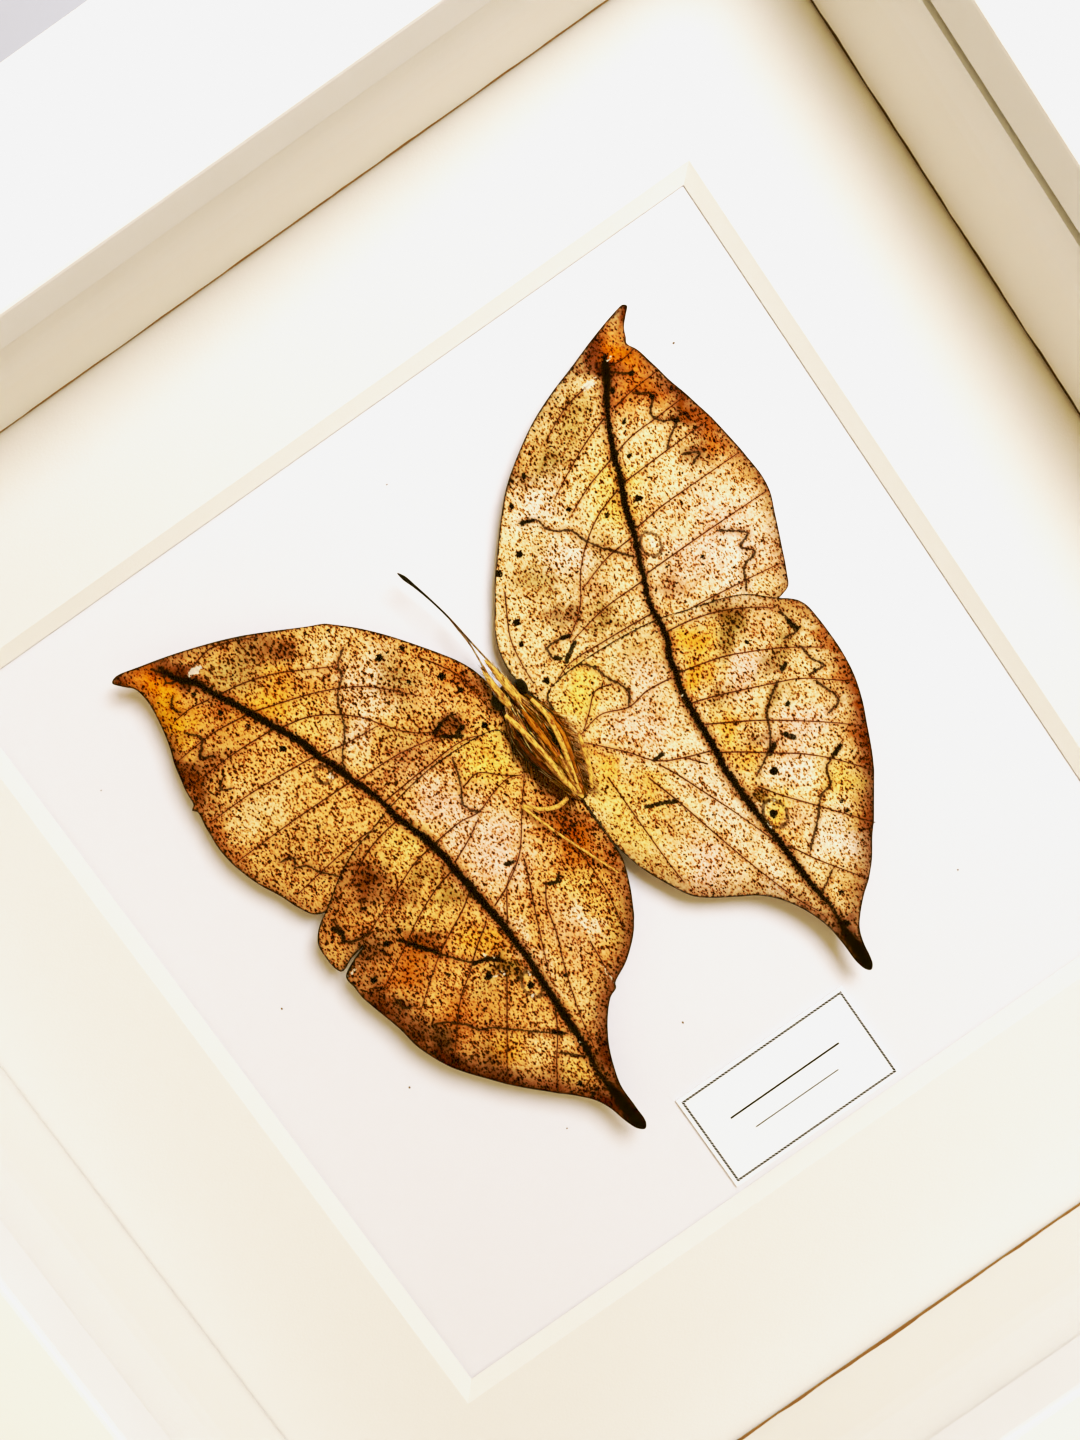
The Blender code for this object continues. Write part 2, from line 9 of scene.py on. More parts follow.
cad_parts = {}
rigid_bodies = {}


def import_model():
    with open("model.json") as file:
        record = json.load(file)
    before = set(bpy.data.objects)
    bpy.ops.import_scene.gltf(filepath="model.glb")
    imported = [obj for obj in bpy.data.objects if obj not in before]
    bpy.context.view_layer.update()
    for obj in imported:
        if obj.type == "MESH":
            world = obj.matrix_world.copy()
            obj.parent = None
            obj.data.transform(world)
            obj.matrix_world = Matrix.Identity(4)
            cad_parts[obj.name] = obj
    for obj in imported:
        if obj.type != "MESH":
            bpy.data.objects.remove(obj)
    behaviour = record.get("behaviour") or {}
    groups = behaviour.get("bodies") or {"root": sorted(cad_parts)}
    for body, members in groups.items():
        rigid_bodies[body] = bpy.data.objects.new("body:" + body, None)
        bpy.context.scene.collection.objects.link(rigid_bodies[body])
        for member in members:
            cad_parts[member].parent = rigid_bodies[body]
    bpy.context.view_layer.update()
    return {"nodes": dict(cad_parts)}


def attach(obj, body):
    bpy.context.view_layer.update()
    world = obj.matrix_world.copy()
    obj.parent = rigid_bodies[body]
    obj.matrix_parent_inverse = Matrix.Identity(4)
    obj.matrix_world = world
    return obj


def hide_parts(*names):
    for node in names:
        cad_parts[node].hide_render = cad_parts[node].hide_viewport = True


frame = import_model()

mm = 0.001
dice = random.Random(7)
for loaded in bpy.data.objects:
    loaded.select_set(False)


# Materials: a hex colour made linear, a node's inputs, and one call that adds a node
def colour(hexText):
    parts = [int(hexText[i:i + 2], 16) / 255 for i in (1, 3, 5)]
    return [c / 12.92 if c <= 0.04045 else ((c + 0.055) / 1.055) ** 2.4 for c in parts] + [1.0]


def plug(tree, node, inputs):
    # an input takes a node, one of its sockets, a hex colour or a plain value
    for name, value in inputs.items():
        if isinstance(value, str):
            value = colour(value)
        elif isinstance(value, bpy.types.Node):
            value = value.outputs[0]
        if isinstance(value, bpy.types.NodeSocket):
            tree.links.new(value, node.inputs[name])
        else:
            node.inputs[name].default_value = value


def addNode(tree, kind, inputs={}, **settings):
    node = tree.nodes.new("ShaderNode" + kind)
    for name, value in settings.items():
        setattr(node, name, value)
    plug(tree, node, inputs)
    return node


def newMaterial(name, roughness, settings={}):
    # a Principled material with its constant values on the shader's own sockets
    material = bpy.data.materials.new(name)
    material.use_nodes = True
    shader = material.node_tree.nodes["Principled BSDF"]
    plug(material.node_tree, shader, {"Roughness": roughness, **settings})
    return material, material.node_tree, shader


def millimetres(tree, stretch=(1, 1, 1)):
    # object coordinates in millimetres, so that a texture's scale is one over its grain size
    place = addNode(tree, "TexCoord")
    return addNode(tree, "Mapping", {
        "Vector": place.outputs["Object"], "Scale": [1000 * s for s in stretch]})


def dress(nodeNames, material):
    for name in nodeNames:
        mesh = frame["nodes"][name].data
        mesh.materials.clear()
        mesh.materials.append(material)


def keep(piece, slotName, *nodes):
    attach(piece, "root")
    if nodes:
        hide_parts(*nodes)
    return piece


# Camera: the photograph's own place over the frame, solved from the frame's straight edges
cameraPlan = {
    "place": (3.4, 28.19, 186.4),
    "right": (0.81799, -0.57446, 0.0297),
    "up": (0.57513, 0.81582, -0.06055),
    "lens": 27.05,
}


def makeCamera(plan):
    data = bpy.data.cameras.new("photoCamera")
    data.sensor_fit = "VERTICAL"
    data.sensor_height = 36
    data.lens = plan["lens"]
    data.clip_start = 0.01
    camera = bpy.data.objects.new("photoCamera", data)
    bpy.context.scene.collection.objects.link(camera)
    right = Vector(plan["right"]).normalized()
    up = Vector(plan["up"])
    up = (up - right * up.dot(right)).normalized()
    turn = Matrix((right, up, right.cross(up))).transposed().to_4x4()
    camera.matrix_world = Matrix.Translation(Vector(plan["place"]) * mm) @ turn
    bpy.context.scene.camera = camera


# Light: one broad soft lamp from the upper right and a pale, warm room around it
lightPlan = {
    "towards": (0.458, 0.262, 0.849),
    "distance": 0.382,
    "size": 0.18,
    "power": 1.5,
    "lampColour": "#F2F5FF",
    "ceiling": "#FFDCA8",
    "walls": "#F8F6F4",
    "ceilingStrength": 0.72,
    "wallStrength": 1.05,
    "blackLevel": (0.042, 0.032, 0.024),
    # tone curves: the whites stop a little short of full, and shadows deepen and warm
    "brightness": [(0.0, 0.0), (0.12, 0.095), (0.32, 0.365), (0.6, 0.675), (0.875, 0.875), (1.0, 0.905)],
    "blue": [(0.0, 0.0), (0.12, 0.095), (0.3, 0.29), (1.0, 1.0)],
}


def makeLight(plan):
    data = bpy.data.lights.new("softLamp", "AREA")
    data.shape = "DISK"
    data.size = plan["size"]
    data.energy = plan["power"]
    data.color = colour(plan["lampColour"])[:3]
    lamp = bpy.data.objects.new("softLamp", data)
    bpy.context.scene.collection.objects.link(lamp)
    lamp.visible_glossy = False  # the pane would mirror it as a white disc
    lamp.visible_transmission = False
    towards = Vector(plan["towards"]).normalized()
    lamp.location = towards * plan["distance"]
    lamp.rotation_euler = towards.to_track_quat("Z", "Y").to_euler()
    # a pale room under a warm ceiling
    world = bpy.data.worlds.new("paleRoom")
    world.use_nodes = True
    tree = world.node_tree
    way = addNode(tree, "TexCoord")
    rise = addNode(tree, "SeparateXYZ", {"Vector": way.outputs["Generated"]})
    height = addNode(tree, "MapRange", {
        "Value": rise.outputs["Z"], "From Min": 0.12, "From Max": 0.55}, interpolation_type="SMOOTHSTEP")
    strength = addNode(tree, "MapRange", {
        "Value": height, "To Min": plan["wallStrength"], "To Max": plan["ceilingStrength"]})
    tint = addNode(tree, "MixRGB", {"Fac": height, "Color1": plan["walls"], "Color2": plan["ceiling"]})
    plug(tree, tree.nodes["Background"], {"Color": tint, "Strength": strength})
    bpy.context.scene.world = world
    view = bpy.context.scene.view_settings
    view.view_transform = "Standard"
    view.look = "None"
    view.use_curve_mapping = True
    for channel, line in ((3, plan["brightness"]), (2, plan["blue"])):
        curve = view.curve_mapping.curves[channel]
        curve.points[0].location = line[0]
        curve.points[1].location = line[-1]
        for spot in line[1:-1]:
            curve.points.new(*spot)
    view.curve_mapping.extend = "HORIZONTAL"
    view.curve_mapping.black_level = plan["blackLevel"]
    view.curve_mapping.update()


floorPlan = {
    # the far tone and the glow are painted light: a paler, glowing floor away from the frame in place of fill
    # light
    "board": "#AFB5C0", "boardPale": "#B5BAC5", "boardFarPaintedPale": "#B9C8E2",
    "glow": "#DCE6FF", "paintedFillGlowStrength": 0.35,
}


def makeFloor(plan):
    bpy.ops.mesh.primitive_plane_add(size=14.0, location=(0, 0, -0.0002))
    floor = bpy.context.object
    floor.name = "floor"
    # matt painted board: plain and pale near the frame; further out it is painted paler and glows, painted
    # light that stands in for fill where the lamp falls off
    material, tree, shader = newMaterial("paleFloorBoard", 0.8, {"Emission Color": plan["glow"]})
    place = millimetres(tree)
    away = addNode(tree, "VectorMath", {"Vector": place}, operation="LENGTH")
    paintedFillReach = addNode(tree, "MapRange", {
        "Value": away.outputs["Value"], "From Min": 120.0,
        "From Max": 650.0}, interpolation_type="SMOOTHSTEP")
    grain = addNode(tree, "TexNoise", {"Vector": place, "Scale": 0.02})
    near = addNode(tree, "MixRGB", {"Fac": grain, "Color1": plan["board"], "Color2": plan["boardPale"]})
    tint = addNode(tree, "MixRGB", {"Fac": paintedFillReach, "Color1": near, "Color2": plan["boardFarPaintedPale"]})
    glow = addNode(tree, "Math", {0: paintedFillReach, 1: plan["paintedFillGlowStrength"]}, operation="MULTIPLY")
    plug(tree, shader, {"Base Color": tint, "Emission Strength": glow})
    floor.data.materials.append(material)


makeCamera(cameraPlan)
makeLight(lightPlan)
makeFloor(floorPlan)
print("camera, light and floor are set")


# Frame, spacers, mat, card, back and glass keep their solids and take on real finishes
finishPlan = {
    # two tones, the noise between them, and the noise that lifts the surface and how much
    "satinPaintedBeech": {
        "tones": ("#F4F2EE", "#EDEAE4"), "cloud": {"Scale": 0.05, "Detail": 3.0},
        "relief": {"Scale": 1 / 1.6, "Detail": 4.0}, "lift": 0.25},
    "pressedHardboard": {
        "tones": ("#3F2511", "#6B4525"), "cloud": {"Scale": 1 / 0.8, "Detail": 6.0, "Roughness": 0.7},
        "relief": {"Scale": 1 / 0.8, "Detail": 6.0, "Roughness": 0.7}, "lift": 0.5},
    "hardenedGlue": {"tones": ("#D8B878", "#B88A48"), "cloud": {"Scale": 0.8, "Detail": 2.0}},
    "dryDust": {"tones": ("#4A3A2C", "#A08A70"), "cloud": {"Scale": 6.0}},
    # boards: their face, their cut edge and the size of a fibre
    "foamBoardStrip": ("#F1ECE3", "#F1ECE3", 0.35),
    "mountBoard": ("#F2EDE4", "#FAF3E2", 0.35),
    "smoothCard": ("#F1EEF0", "#F1EEF0", 0.25),
    # painted shade at the foot of each spacer, where it meets the mat: its tone and where it stops; darkest
    # on the right, none on the left
    "junctionShadeBands": {
        "top": ("#9A7448", 13.0), "bottom": ("#8A6238", 13.1), "left": None, "right": ("#3A2410", 12.95)},
    "foamGlow": 0.7,
    "zinc": ("#B9BCC0", "#9FA2A6"), "zincSpangle": 1.5,
    "glassTint": "#FDFEFE", "groundGlass": "#F4F6F2", "glassEdge": 104.6,
}


def cloudedFinish(name, roughness, settings={}, stretch=(1, 1, 1)):
    # two tones that drift into each other, over a surface that a finer noise lifts
    plan = finishPlan[name]
    material, tree, shader = newMaterial(name, roughness, settings)
    place = millimetres(tree, stretch)
    cloud = addNode(tree, "TexNoise", {"Vector": place, **plan["cloud"]})
    tone = addNode(tree, "MixRGB", {"Fac": cloud, "Color1": plan["tones"][0], "Color2": plan["tones"][1]})
    plug(tree, shader, {"Base Color": tone})
    if "relief" in plan:
        relief = addNode(tree, "TexNoise", {"Vector": place, **plan["relief"]})
        bump = addNode(tree, "Bump", {"Height": relief, "Strength": plan["lift"], "Distance": 0.0001})
        plug(tree, shader, {"Normal": bump})
    return material


def paperBoard(name, glow=0.0, junctionShade=None):
    # paper-faced board: matt, faintly fibrous, its cut edges showing the core; glow lets light soak through
    # the foam, and a band of painted shade darkens its foot, where it meets the mat
    face, core, fibreSize = finishPlan[name]
    material, tree, shader = newMaterial(name, 0.85, {
        "Specular IOR Level": 0.3, "Subsurface Weight": glow, "Subsurface Radius": (1.0, 1.0, 1.0),
        "Subsurface Scale": 0.003})
    place = millimetres(tree)
    fibre = addNode(tree, "TexNoise", {"Vector": place, "Scale": 1 / fibreSize, "Detail": 5.0})
    shape = addNode(tree, "NewGeometry")
    facing = addNode(tree, "SeparateXYZ", {"Vector": shape.outputs["True Normal"]})
    level = addNode(tree, "Math", {0: facing.outputs["Z"]}, operation="ABSOLUTE")
    cut = addNode(tree, "MapRange", {
        "Value": level, "From Min": 0.2, "From Max": 0.9, "To Min": 1.0, "To Max": 0.0})
    sides = addNode(tree, "MixRGB", {"Fac": cut, "Color1": face, "Color2": core})
    speckle = addNode(tree, "MapRange", {"Value": fibre, "To Min": 0.965, "To Max": 1.02})
    tone = addNode(tree, "MixRGB", {"Fac": 1.0, "Color1": sides, "Color2": speckle}, blend_type="MULTIPLY")
    # painted shade: a dark band along the board's foot, where it meets the mat
    if junctionShade:
        seam = addNode(tree, "TexNoise", {"Vector": place, "Scale": 0.12, "Detail": 3.0})
        rise = addNode(tree, "SeparateXYZ", {"Vector": place})
        wavy = addNode(tree, "Math", {0: seam, 1: -1.2, 2: rise.outputs["Z"]}, operation="MULTIPLY_ADD")
        line = addNode(tree, "MapRange", {
            "Value": wavy, "From Min": junctionShade[1] - 0.75, "From Max": junctionShade[1] - 0.55, "To Min": 1.0,
            "To Max": 0.0})
        tone = addNode(tree, "MixRGB", {"Fac": line, "Color1": tone, "Color2": junctionShade[0]})
    bump = addNode(tree, "Bump", {"Height": fibre, "Strength": 0.35, "Distance": 0.0001})
    plug(tree, shader, {"Base Color": tone, "Normal": bump})
    return material


def clearGlass(plan):
    # float glass: clear, lets light through without a shadow, and is ground matt white round its cut edge
    material, tree, shader = newMaterial("floatGlass", 0.0, {
        "Transmission Weight": 1.0, "IOR": 1.45, "Specular IOR Level": 0.2,
        "Base Color": plan["glassTint"]})
    path = addNode(tree, "LightPath")
    through = addNode(tree, "BsdfTransparent", {"Color": plan["glassTint"]})
    clear = addNode(tree, "MixShader", {0: path.outputs["Is Shadow Ray"], 1: shader, 2: through})
    spot = addNode(tree, "VectorMath", {0: millimetres(tree)}, operation="ABSOLUTE")
    away = addNode(tree, "SeparateXYZ", {"Vector": spot})
    far = addNode(tree, "Math", {0: away.outputs["X"], 1: away.outputs["Y"]}, operation="MAXIMUM")
    cut = addNode(tree, "Math", {0: far, 1: plan["glassEdge"]}, operation="GREATER_THAN")
    ground = addNode(tree, "BsdfDiffuse", {"Color": plan["groundGlass"]})
    pane = addNode(tree, "MixShader", {0: cut, 1: clear, 2: ground})
    plug(tree, tree.nodes["Material Output"], {"Surface": pane})
    return material


def zincedSteel(plan):
    # zinc-plated mild steel: bright grey metal with a soft spangle
    material, tree, shader = newMaterial("zincPlatedSteel", 0.32, {"Metallic": 1.0})
    place = millimetres(tree)
    spangle = addNode(tree, "TexVoronoi", {"Vector": place, "Scale": 1 / plan["zincSpangle"]})
    rough = addNode(tree, "MapRange", {
        "Value": spangle.outputs["Distance"], "To Min": 0.25, "To Max": 0.42})
    tone = addNode(tree, "MixRGB", {
        "Fac": spangle.outputs["Distance"], "Color1": plan["zinc"][0], "Color2": plan["zinc"][1]})
    plug(tree, shader, {"Base Color": tone, "Roughness": rough})
    return material


# beech moulding, sprayed white in satin: smooth, with a faint orange peel and filled grain
satinPaint = cloudedFinish("satinPaintedBeech", 0.38, {"Coat Weight": 0.12, "Coat Roughness": 0.25})
# hardboard: brown pressed wood fibre, smooth side out, with a felted fleck
hardboard = cloudedFinish("pressedHardboard", 0.55, {}, (1, 2.2, 1))
for side, junctionShade in finishPlan["junctionShadeBands"].items():
    dress(["frame_rail_" + side], satinPaint)
    dress(["spacer_" + side], paperBoard("foamBoardStrip", finishPlan["foamGlow"], junctionShade))
dress(["mat"], paperBoard("mountBoard"))
dress(["backing_card"], paperBoard("smoothCard"))
dress(["glass"], clearGlass(finishPlan))
dress(["back_panel"], hardboard)
dress(["hanger"] + ["bend_tab_%d" % number for number in range(1, 9)], zincedSteel(finishPlan))
print("frame finishes are on")


# Wings. All places are millimetres in the frame's own plane, x to the right and y up.
tones = {
    "sand": "#F9CA88", "cream": "#FFE2B0", "paleCream": "#FFEED8", "yellow": "#FFDE80", "gold": "#F2B62C",
    "ochre": "#FFE092", "orange": "#F29A10", "amber": "#C87A14", "tan": "#CE9854", "brown": "#7C4410",
    "umber": "#381604", "redBrown": "#661C02", "olive": "#947830", "greyOlive": "#CDB078",
    "lilac": "#FBDCC4", "rose": "#EDC29A", "mauve": "#C09272", "black": "#080301",
}

wingPlan = {
    "root": (0.0, 14.0), "spread": 0.994, "underside": 12.2, "rise": 2.8, "reach": 65.0, "power": 1.1,
    "cadThickness": 0.3, "hindwingAbove": 0.65,
    "thickness": 0.13, "cell": 0.33, "rimGap": 0.42,
    # ridges, the membrane's sag between them and how far each reaches; the ripple over it all
    "veinRadius": 0.115, "veinRidge": (0.09, 0.55), "ribRidge": (0.2, 0.8), "sag": (0.16, 1.8), "ripple": 0.1,
    # each side's ground tone and how speckled it is; how far the dark margin reaches on fore- and hindwing
    "grounds": {"left": (tones["sand"], 0.3), "right": (tones["cream"], 0.05)}, "marginBand": (1.8, 2.8),
    # stains: their tone, how much and how wide
    "ribEdge": (tones["olive"], 0.45, 0.5), "veinStain": ("#A8560F", 0.5, 0.36),
    "margin": (tones["redBrown"], 0.85), "reflectance": 0.97,
}

forewingLeft = {
    "outline": [(-49.9, 60.2), (-48.9, 58.8), (-47.6, 57.4), (-47.2, 55), (-47.7, 51), (-48.6, 47.3),
        (-49.8, 43.7), (-50.8, 39.3), (-51.1, 37.4), (-51.8, 36.8), (-51.3, 36.2), (-51.7, 33), (-52, 29),
        (-51.5, 25.2), (-50.3, 21.2), (-48.6, 17.5), (-47.3, 14.2), (-46.2, 12.2), (-44.6, 11.3),
        (-41, 10.6), (-30, 9.6), (-18, 10.2), (-9, 12), (-4.4, 14), (-3.6, 18), (-2.7, 21), (-2.3, 23.6),
        (-2, 25), (-1.9, 26.6), (-2.6, 29.6), (-3.7, 32), (-5, 34.1), (-7.5, 37.7), (-10.4, 41.6),
        (-13.6, 45.3), (-16.8, 48.3), (-17.5, 48.9), (-20, 50.1), (-25, 52.7), (-30, 55.1), (-35, 57),
        (-40, 58.6), (-45, 59.9), (-48.9, 60.7)],
    "veins": [[(-39, 49.3), (-42, 49.8), (-45.5, 49.6)], [(-35.5, 44), (-42, 44.7), (-49, 44.2)],
        [(-33, 39.8), (-41, 40.2), (-50, 39.9)], [(-31, 32.6), (-37, 33.2), (-43, 33.6), (-50.5, 33.5)],
        [(-28.5, 26), (-40, 26.2), (-51, 26)], [(-26, 16.9), (-31.5, 17.8), (-40, 17.1), (-46, 16.2)],
        [(-37, 49), (-33, 48.3), (-28, 46.6), (-24, 44.5), (-20, 42.3)], [(-34.5, 43.8), (-29, 42.1),
        (-24, 40.3), (-18, 37), (-12, 31)], [(-32.5, 39.3), (-28, 38.2), (-24, 35.8), (-21, 33),
        (-19.5, 30.8), (-16.5, 27), (-12, 24)], [(-30.5, 32.3), (-25, 31.3), (-20, 30.8)], [(-27.7, 25.5),
        (-20, 25.2), (-12, 23.6)], [(-8.5, 36), (-6.5, 33), (-5, 30), (-4.3, 26), (-4, 22)], [(-39, 54.6),
        (-34, 55.6), (-27, 53)], [(-26.5, 20.3), (-18, 20.9), (-10, 21), (-5.5, 19)]],
    "waves": [[(-17.5, 43.8), (-19.5, 42.3), (-20, 40.5), (-21.8, 39), (-23, 37.3), (-23.6, 35.5),
        (-24.5, 33.5), (-25.8, 31.8), (-27, 30.5), (-28, 29), (-28.5, 27.5)], [(-43.5, 52.8), (-44.5, 51.5),
        (-43.8, 50.3)], [(-45, 47), (-43.5, 45), (-45.4, 42.8), (-43.8, 41.7)], [(-44.7, 38), (-46, 36.8),
        (-44.5, 36)], [(-45, 22), (-43, 21.3), (-43.8, 20), (-42, 19), (-41.3, 17.5), (-39.3, 15)],
        [(-13.5, 24.8), (-11.5, 25.4), (-9.3, 25.6)], [(-9.6, 25.4), (-9.3, 23), (-9.8, 22.6)],
        [(-43.3, 58), (-42.3, 56.5), (-43, 55.3), (-41.6, 54.6)]],
    "thick": [[(-13.2, 24.7), (-11.8, 25.2)], [(-12.8, 23.6), (-11.5, 22.6), (-10.2, 21.7)], [(-10.3, 22.6),
        (-9.2, 22.9)]],
    "rings": [(-31.5, 29.4, 1.25, 1.6)],
    "dots": [(-34.3, 36.4, 0.5), (-38.8, 46.6, 0.34), (-40.4, 51.3, 0.3), (-36.5, 42.3, 0.3),
        (-7.3, 31.3, 0.52), (-6, 28, 0.42), (-6.1, 21, 0.5), (-13.6, 39.4, 0.55), (-17.7, 47.5, 0.3),
        (-9.8, 38.7, 0.4), (-12, 33.6, 0.3), (-37.1, 23.1, 0.25), (-38.2, 21.5, 0.2)],
    "flecks": [(-38, 54.2, 1.3, 0.6), (-30.9, 28.6, 0.35, 0.6)],
}

hindwingLeft = {
    "outline": [(-46, 10.3), (-47.3, 9.1), (-48.2, 7.6), (-48.4, 5), (-48.2, 3), (-47.6, 2), (-45, 2.9),
        (-42.6, 3.3), (-45, 2.45), (-47.5, 1.1), (-47.7, 0.2), (-47.5, -0.9), (-47.4, -3.2), (-46.7, -6.4),
        (-45.5, -11.2), (-44.9, -15), (-43.4, -19), (-41.2, -22.7), (-38.2, -26.6), (-35.3, -30),
        (-31.6, -33.7), (-28.5, -36.7), (-26.6, -38.9), (-25.4, -41.3), (-24.5, -44.5), (-23.6, -46.6),
        (-22.6, -47.4), (-21.9, -46.6), (-21.8, -43.5), (-21.8, -39.5), (-21, -36.4), (-19.5, -32.7),
        (-17.2, -29.1), (-14.8, -26.6), (-13.3, -25.9), (-12.9, -25.1), (-9.6, -23.4), (-6.7, -21.1),
        (-5.1, -19.3), (-4.7, -18.7), (-4.3, -18.2), (-3.4, -16.6), (-2.2, -14.3), (-1.2, -11.9),
        (-0.35, -9.3), (-0.2, -6), (-0.25, -3.2), (-0.3, 0), (-0.3, 3), (-1, 6), (-2.4, 8.8), (-3.7, 11.5),
        (-4.2, 16), (-4.8, 19.3), (-8, 20.3), (-12, 20.6), (-17, 20.6), (-22, 20), (-27, 19), (-31, 17.8),
        (-34, 17.1), (-37, 15.9), (-40, 14.2), (-42, 12.8), (-44.2, 11.4)],
    "veins": [[(-26.5, 16.7), (-30, 16.2), (-33, 15.3), (-38.5, 12.5)], [(-24, 10.2), (-28, 9.5),
        (-33, 7.5), (-40.3, 4.7)], [(-23.5, 5.2), (-28, 4), (-33, 1.8), (-36, 0), (-43, -3.8)], [(-23, 1),
        (-26, -1), (-30, -3), (-34, -5.3), (-41, -10.5)], [(-24.3, -5), (-28, -7.5), (-31, -10),
        (-34.5, -12.5), (-41.5, -20.5)], [(-26.5, -14), (-30, -19), (-36, -27.5)], [(-23, -22.5),
        (-25, -26), (-28, -30), (-30.5, -34)], [(-23.5, 10.3), (-18, 10.7), (-15, 10.3), (-11, 11.5),
        (-8, 12), (-5.8, 11.2)], [(-22.5, 6), (-19, 7.5), (-15.5, 9.5)], [(-21.5, -3.5), (-18, -2),
        (-13.5, 1), (-9.5, 6), (-5.5, 11)], [(-21.5, -7), (-17.5, -1.5), (-15, 0)], [(-13.3, 0),
        (-14.5, -3), (-16.5, -7.5), (-18, -11), (-20.5, -17)], [(-12.5, -5), (-14.5, -8), (-16, -13),
        (-18, -18), (-20.5, -26), (-21.5, -31)], [(-5.3, 4), (-5.5, -12), (-6.8, -19)], [(-12.3, -17),
        (-13, -25)], [(-14.5, 15), (-11.5, 15.5), (-8.5, 13), (-6, 11.2)]],
    "waves": [[(-43.8, 9), (-43.5, 7), (-44.3, 6), (-43, 5), (-40, 4.5)], [(-36, -0.5), (-34.5, -2.5),
        (-32.5, -5.5), (-30, -8.5), (-28.5, -9.3), (-26, -10.5)], [(-43, -6.5), (-42.8, -8.5), (-41.5, -9)],
        [(-40.3, -13.5), (-38, -14.8), (-36, -16.8), (-35, -18.5), (-33.3, -19.3), (-30, -22),
        (-28.5, -23.5), (-25.3, -26)], [(-26.5, -29), (-25, -30.5), (-23.8, -31.8)], [(-13.5, 19.5),
        (-14, 17.5), (-15, 15), (-16.2, 13), (-15.8, 11.3), (-14.8, 10.3)], [(-25, -26), (-24, -27)]],
    # the first thick line, along the tear, is painted shade for the shadowed inside of the folded flap
    "thick": [[(-47.3, 1.2), (-45.2, 2.5), (-42.4, 3.4)], [(-29.5, -9.2), (-27.6, -9.6), (-26, -11)],
        [(-12.5, -5.5), (-11, -6.3), (-10.4, -5.6)], [(-16.2, 0.9), (-15, 0.6)], [(-37, 0.8), (-36, -0.5),
        (-34.6, -2.6), (-33.2, -4.2)], [(-44.5, 8.5), (-43.7, 7), (-44.2, 6)], [(-24.5, -26.6),
        (-25.6, -25.5)]],
    "rings": [(-23.9, -17.3, 1.5, 2.3)],
    "dots": [(-28.8, -12.2, 0.55), (-24.2, -17.4, 0.5), (-44, -2, 0.5), (-39, 1.6, 0.4), (-34, -8.3, 0.3),
        (-38.6, 8.2, 0.3), (-32.5, -16.3, 0.25), (-36.2, 2.2, 0.35), (-26.9, -35, 0.4), (-26.2, -37.5, 0.3),
        (-18.7, -19.2, 0.3)],
    # the last two flecks, on the tear's edge, are a painted highlight on the torn flap
    "flecks": [(-27.4, -9, 0.22, 0.22), (-26.4, -10.1, 0.2, 0.2), (-27.8, -12.8, 0.7, 0.16),
        (-26.9, -13.4, 0.5, 0.14), (-23.2, -16, 0.18, 0.6), (-24.9, -18.9, 0.5, 0.16),
        (-22.9, -29.4, 0.18, 0.2), (-11.6, -14.2, 0.18, 1.9), (-13, -23.6, 0.14, 1.6),
        (-46.6, 1.1, 1.1, 0.2), (-47.4, 2.2, 0.5, 0.16)],
}

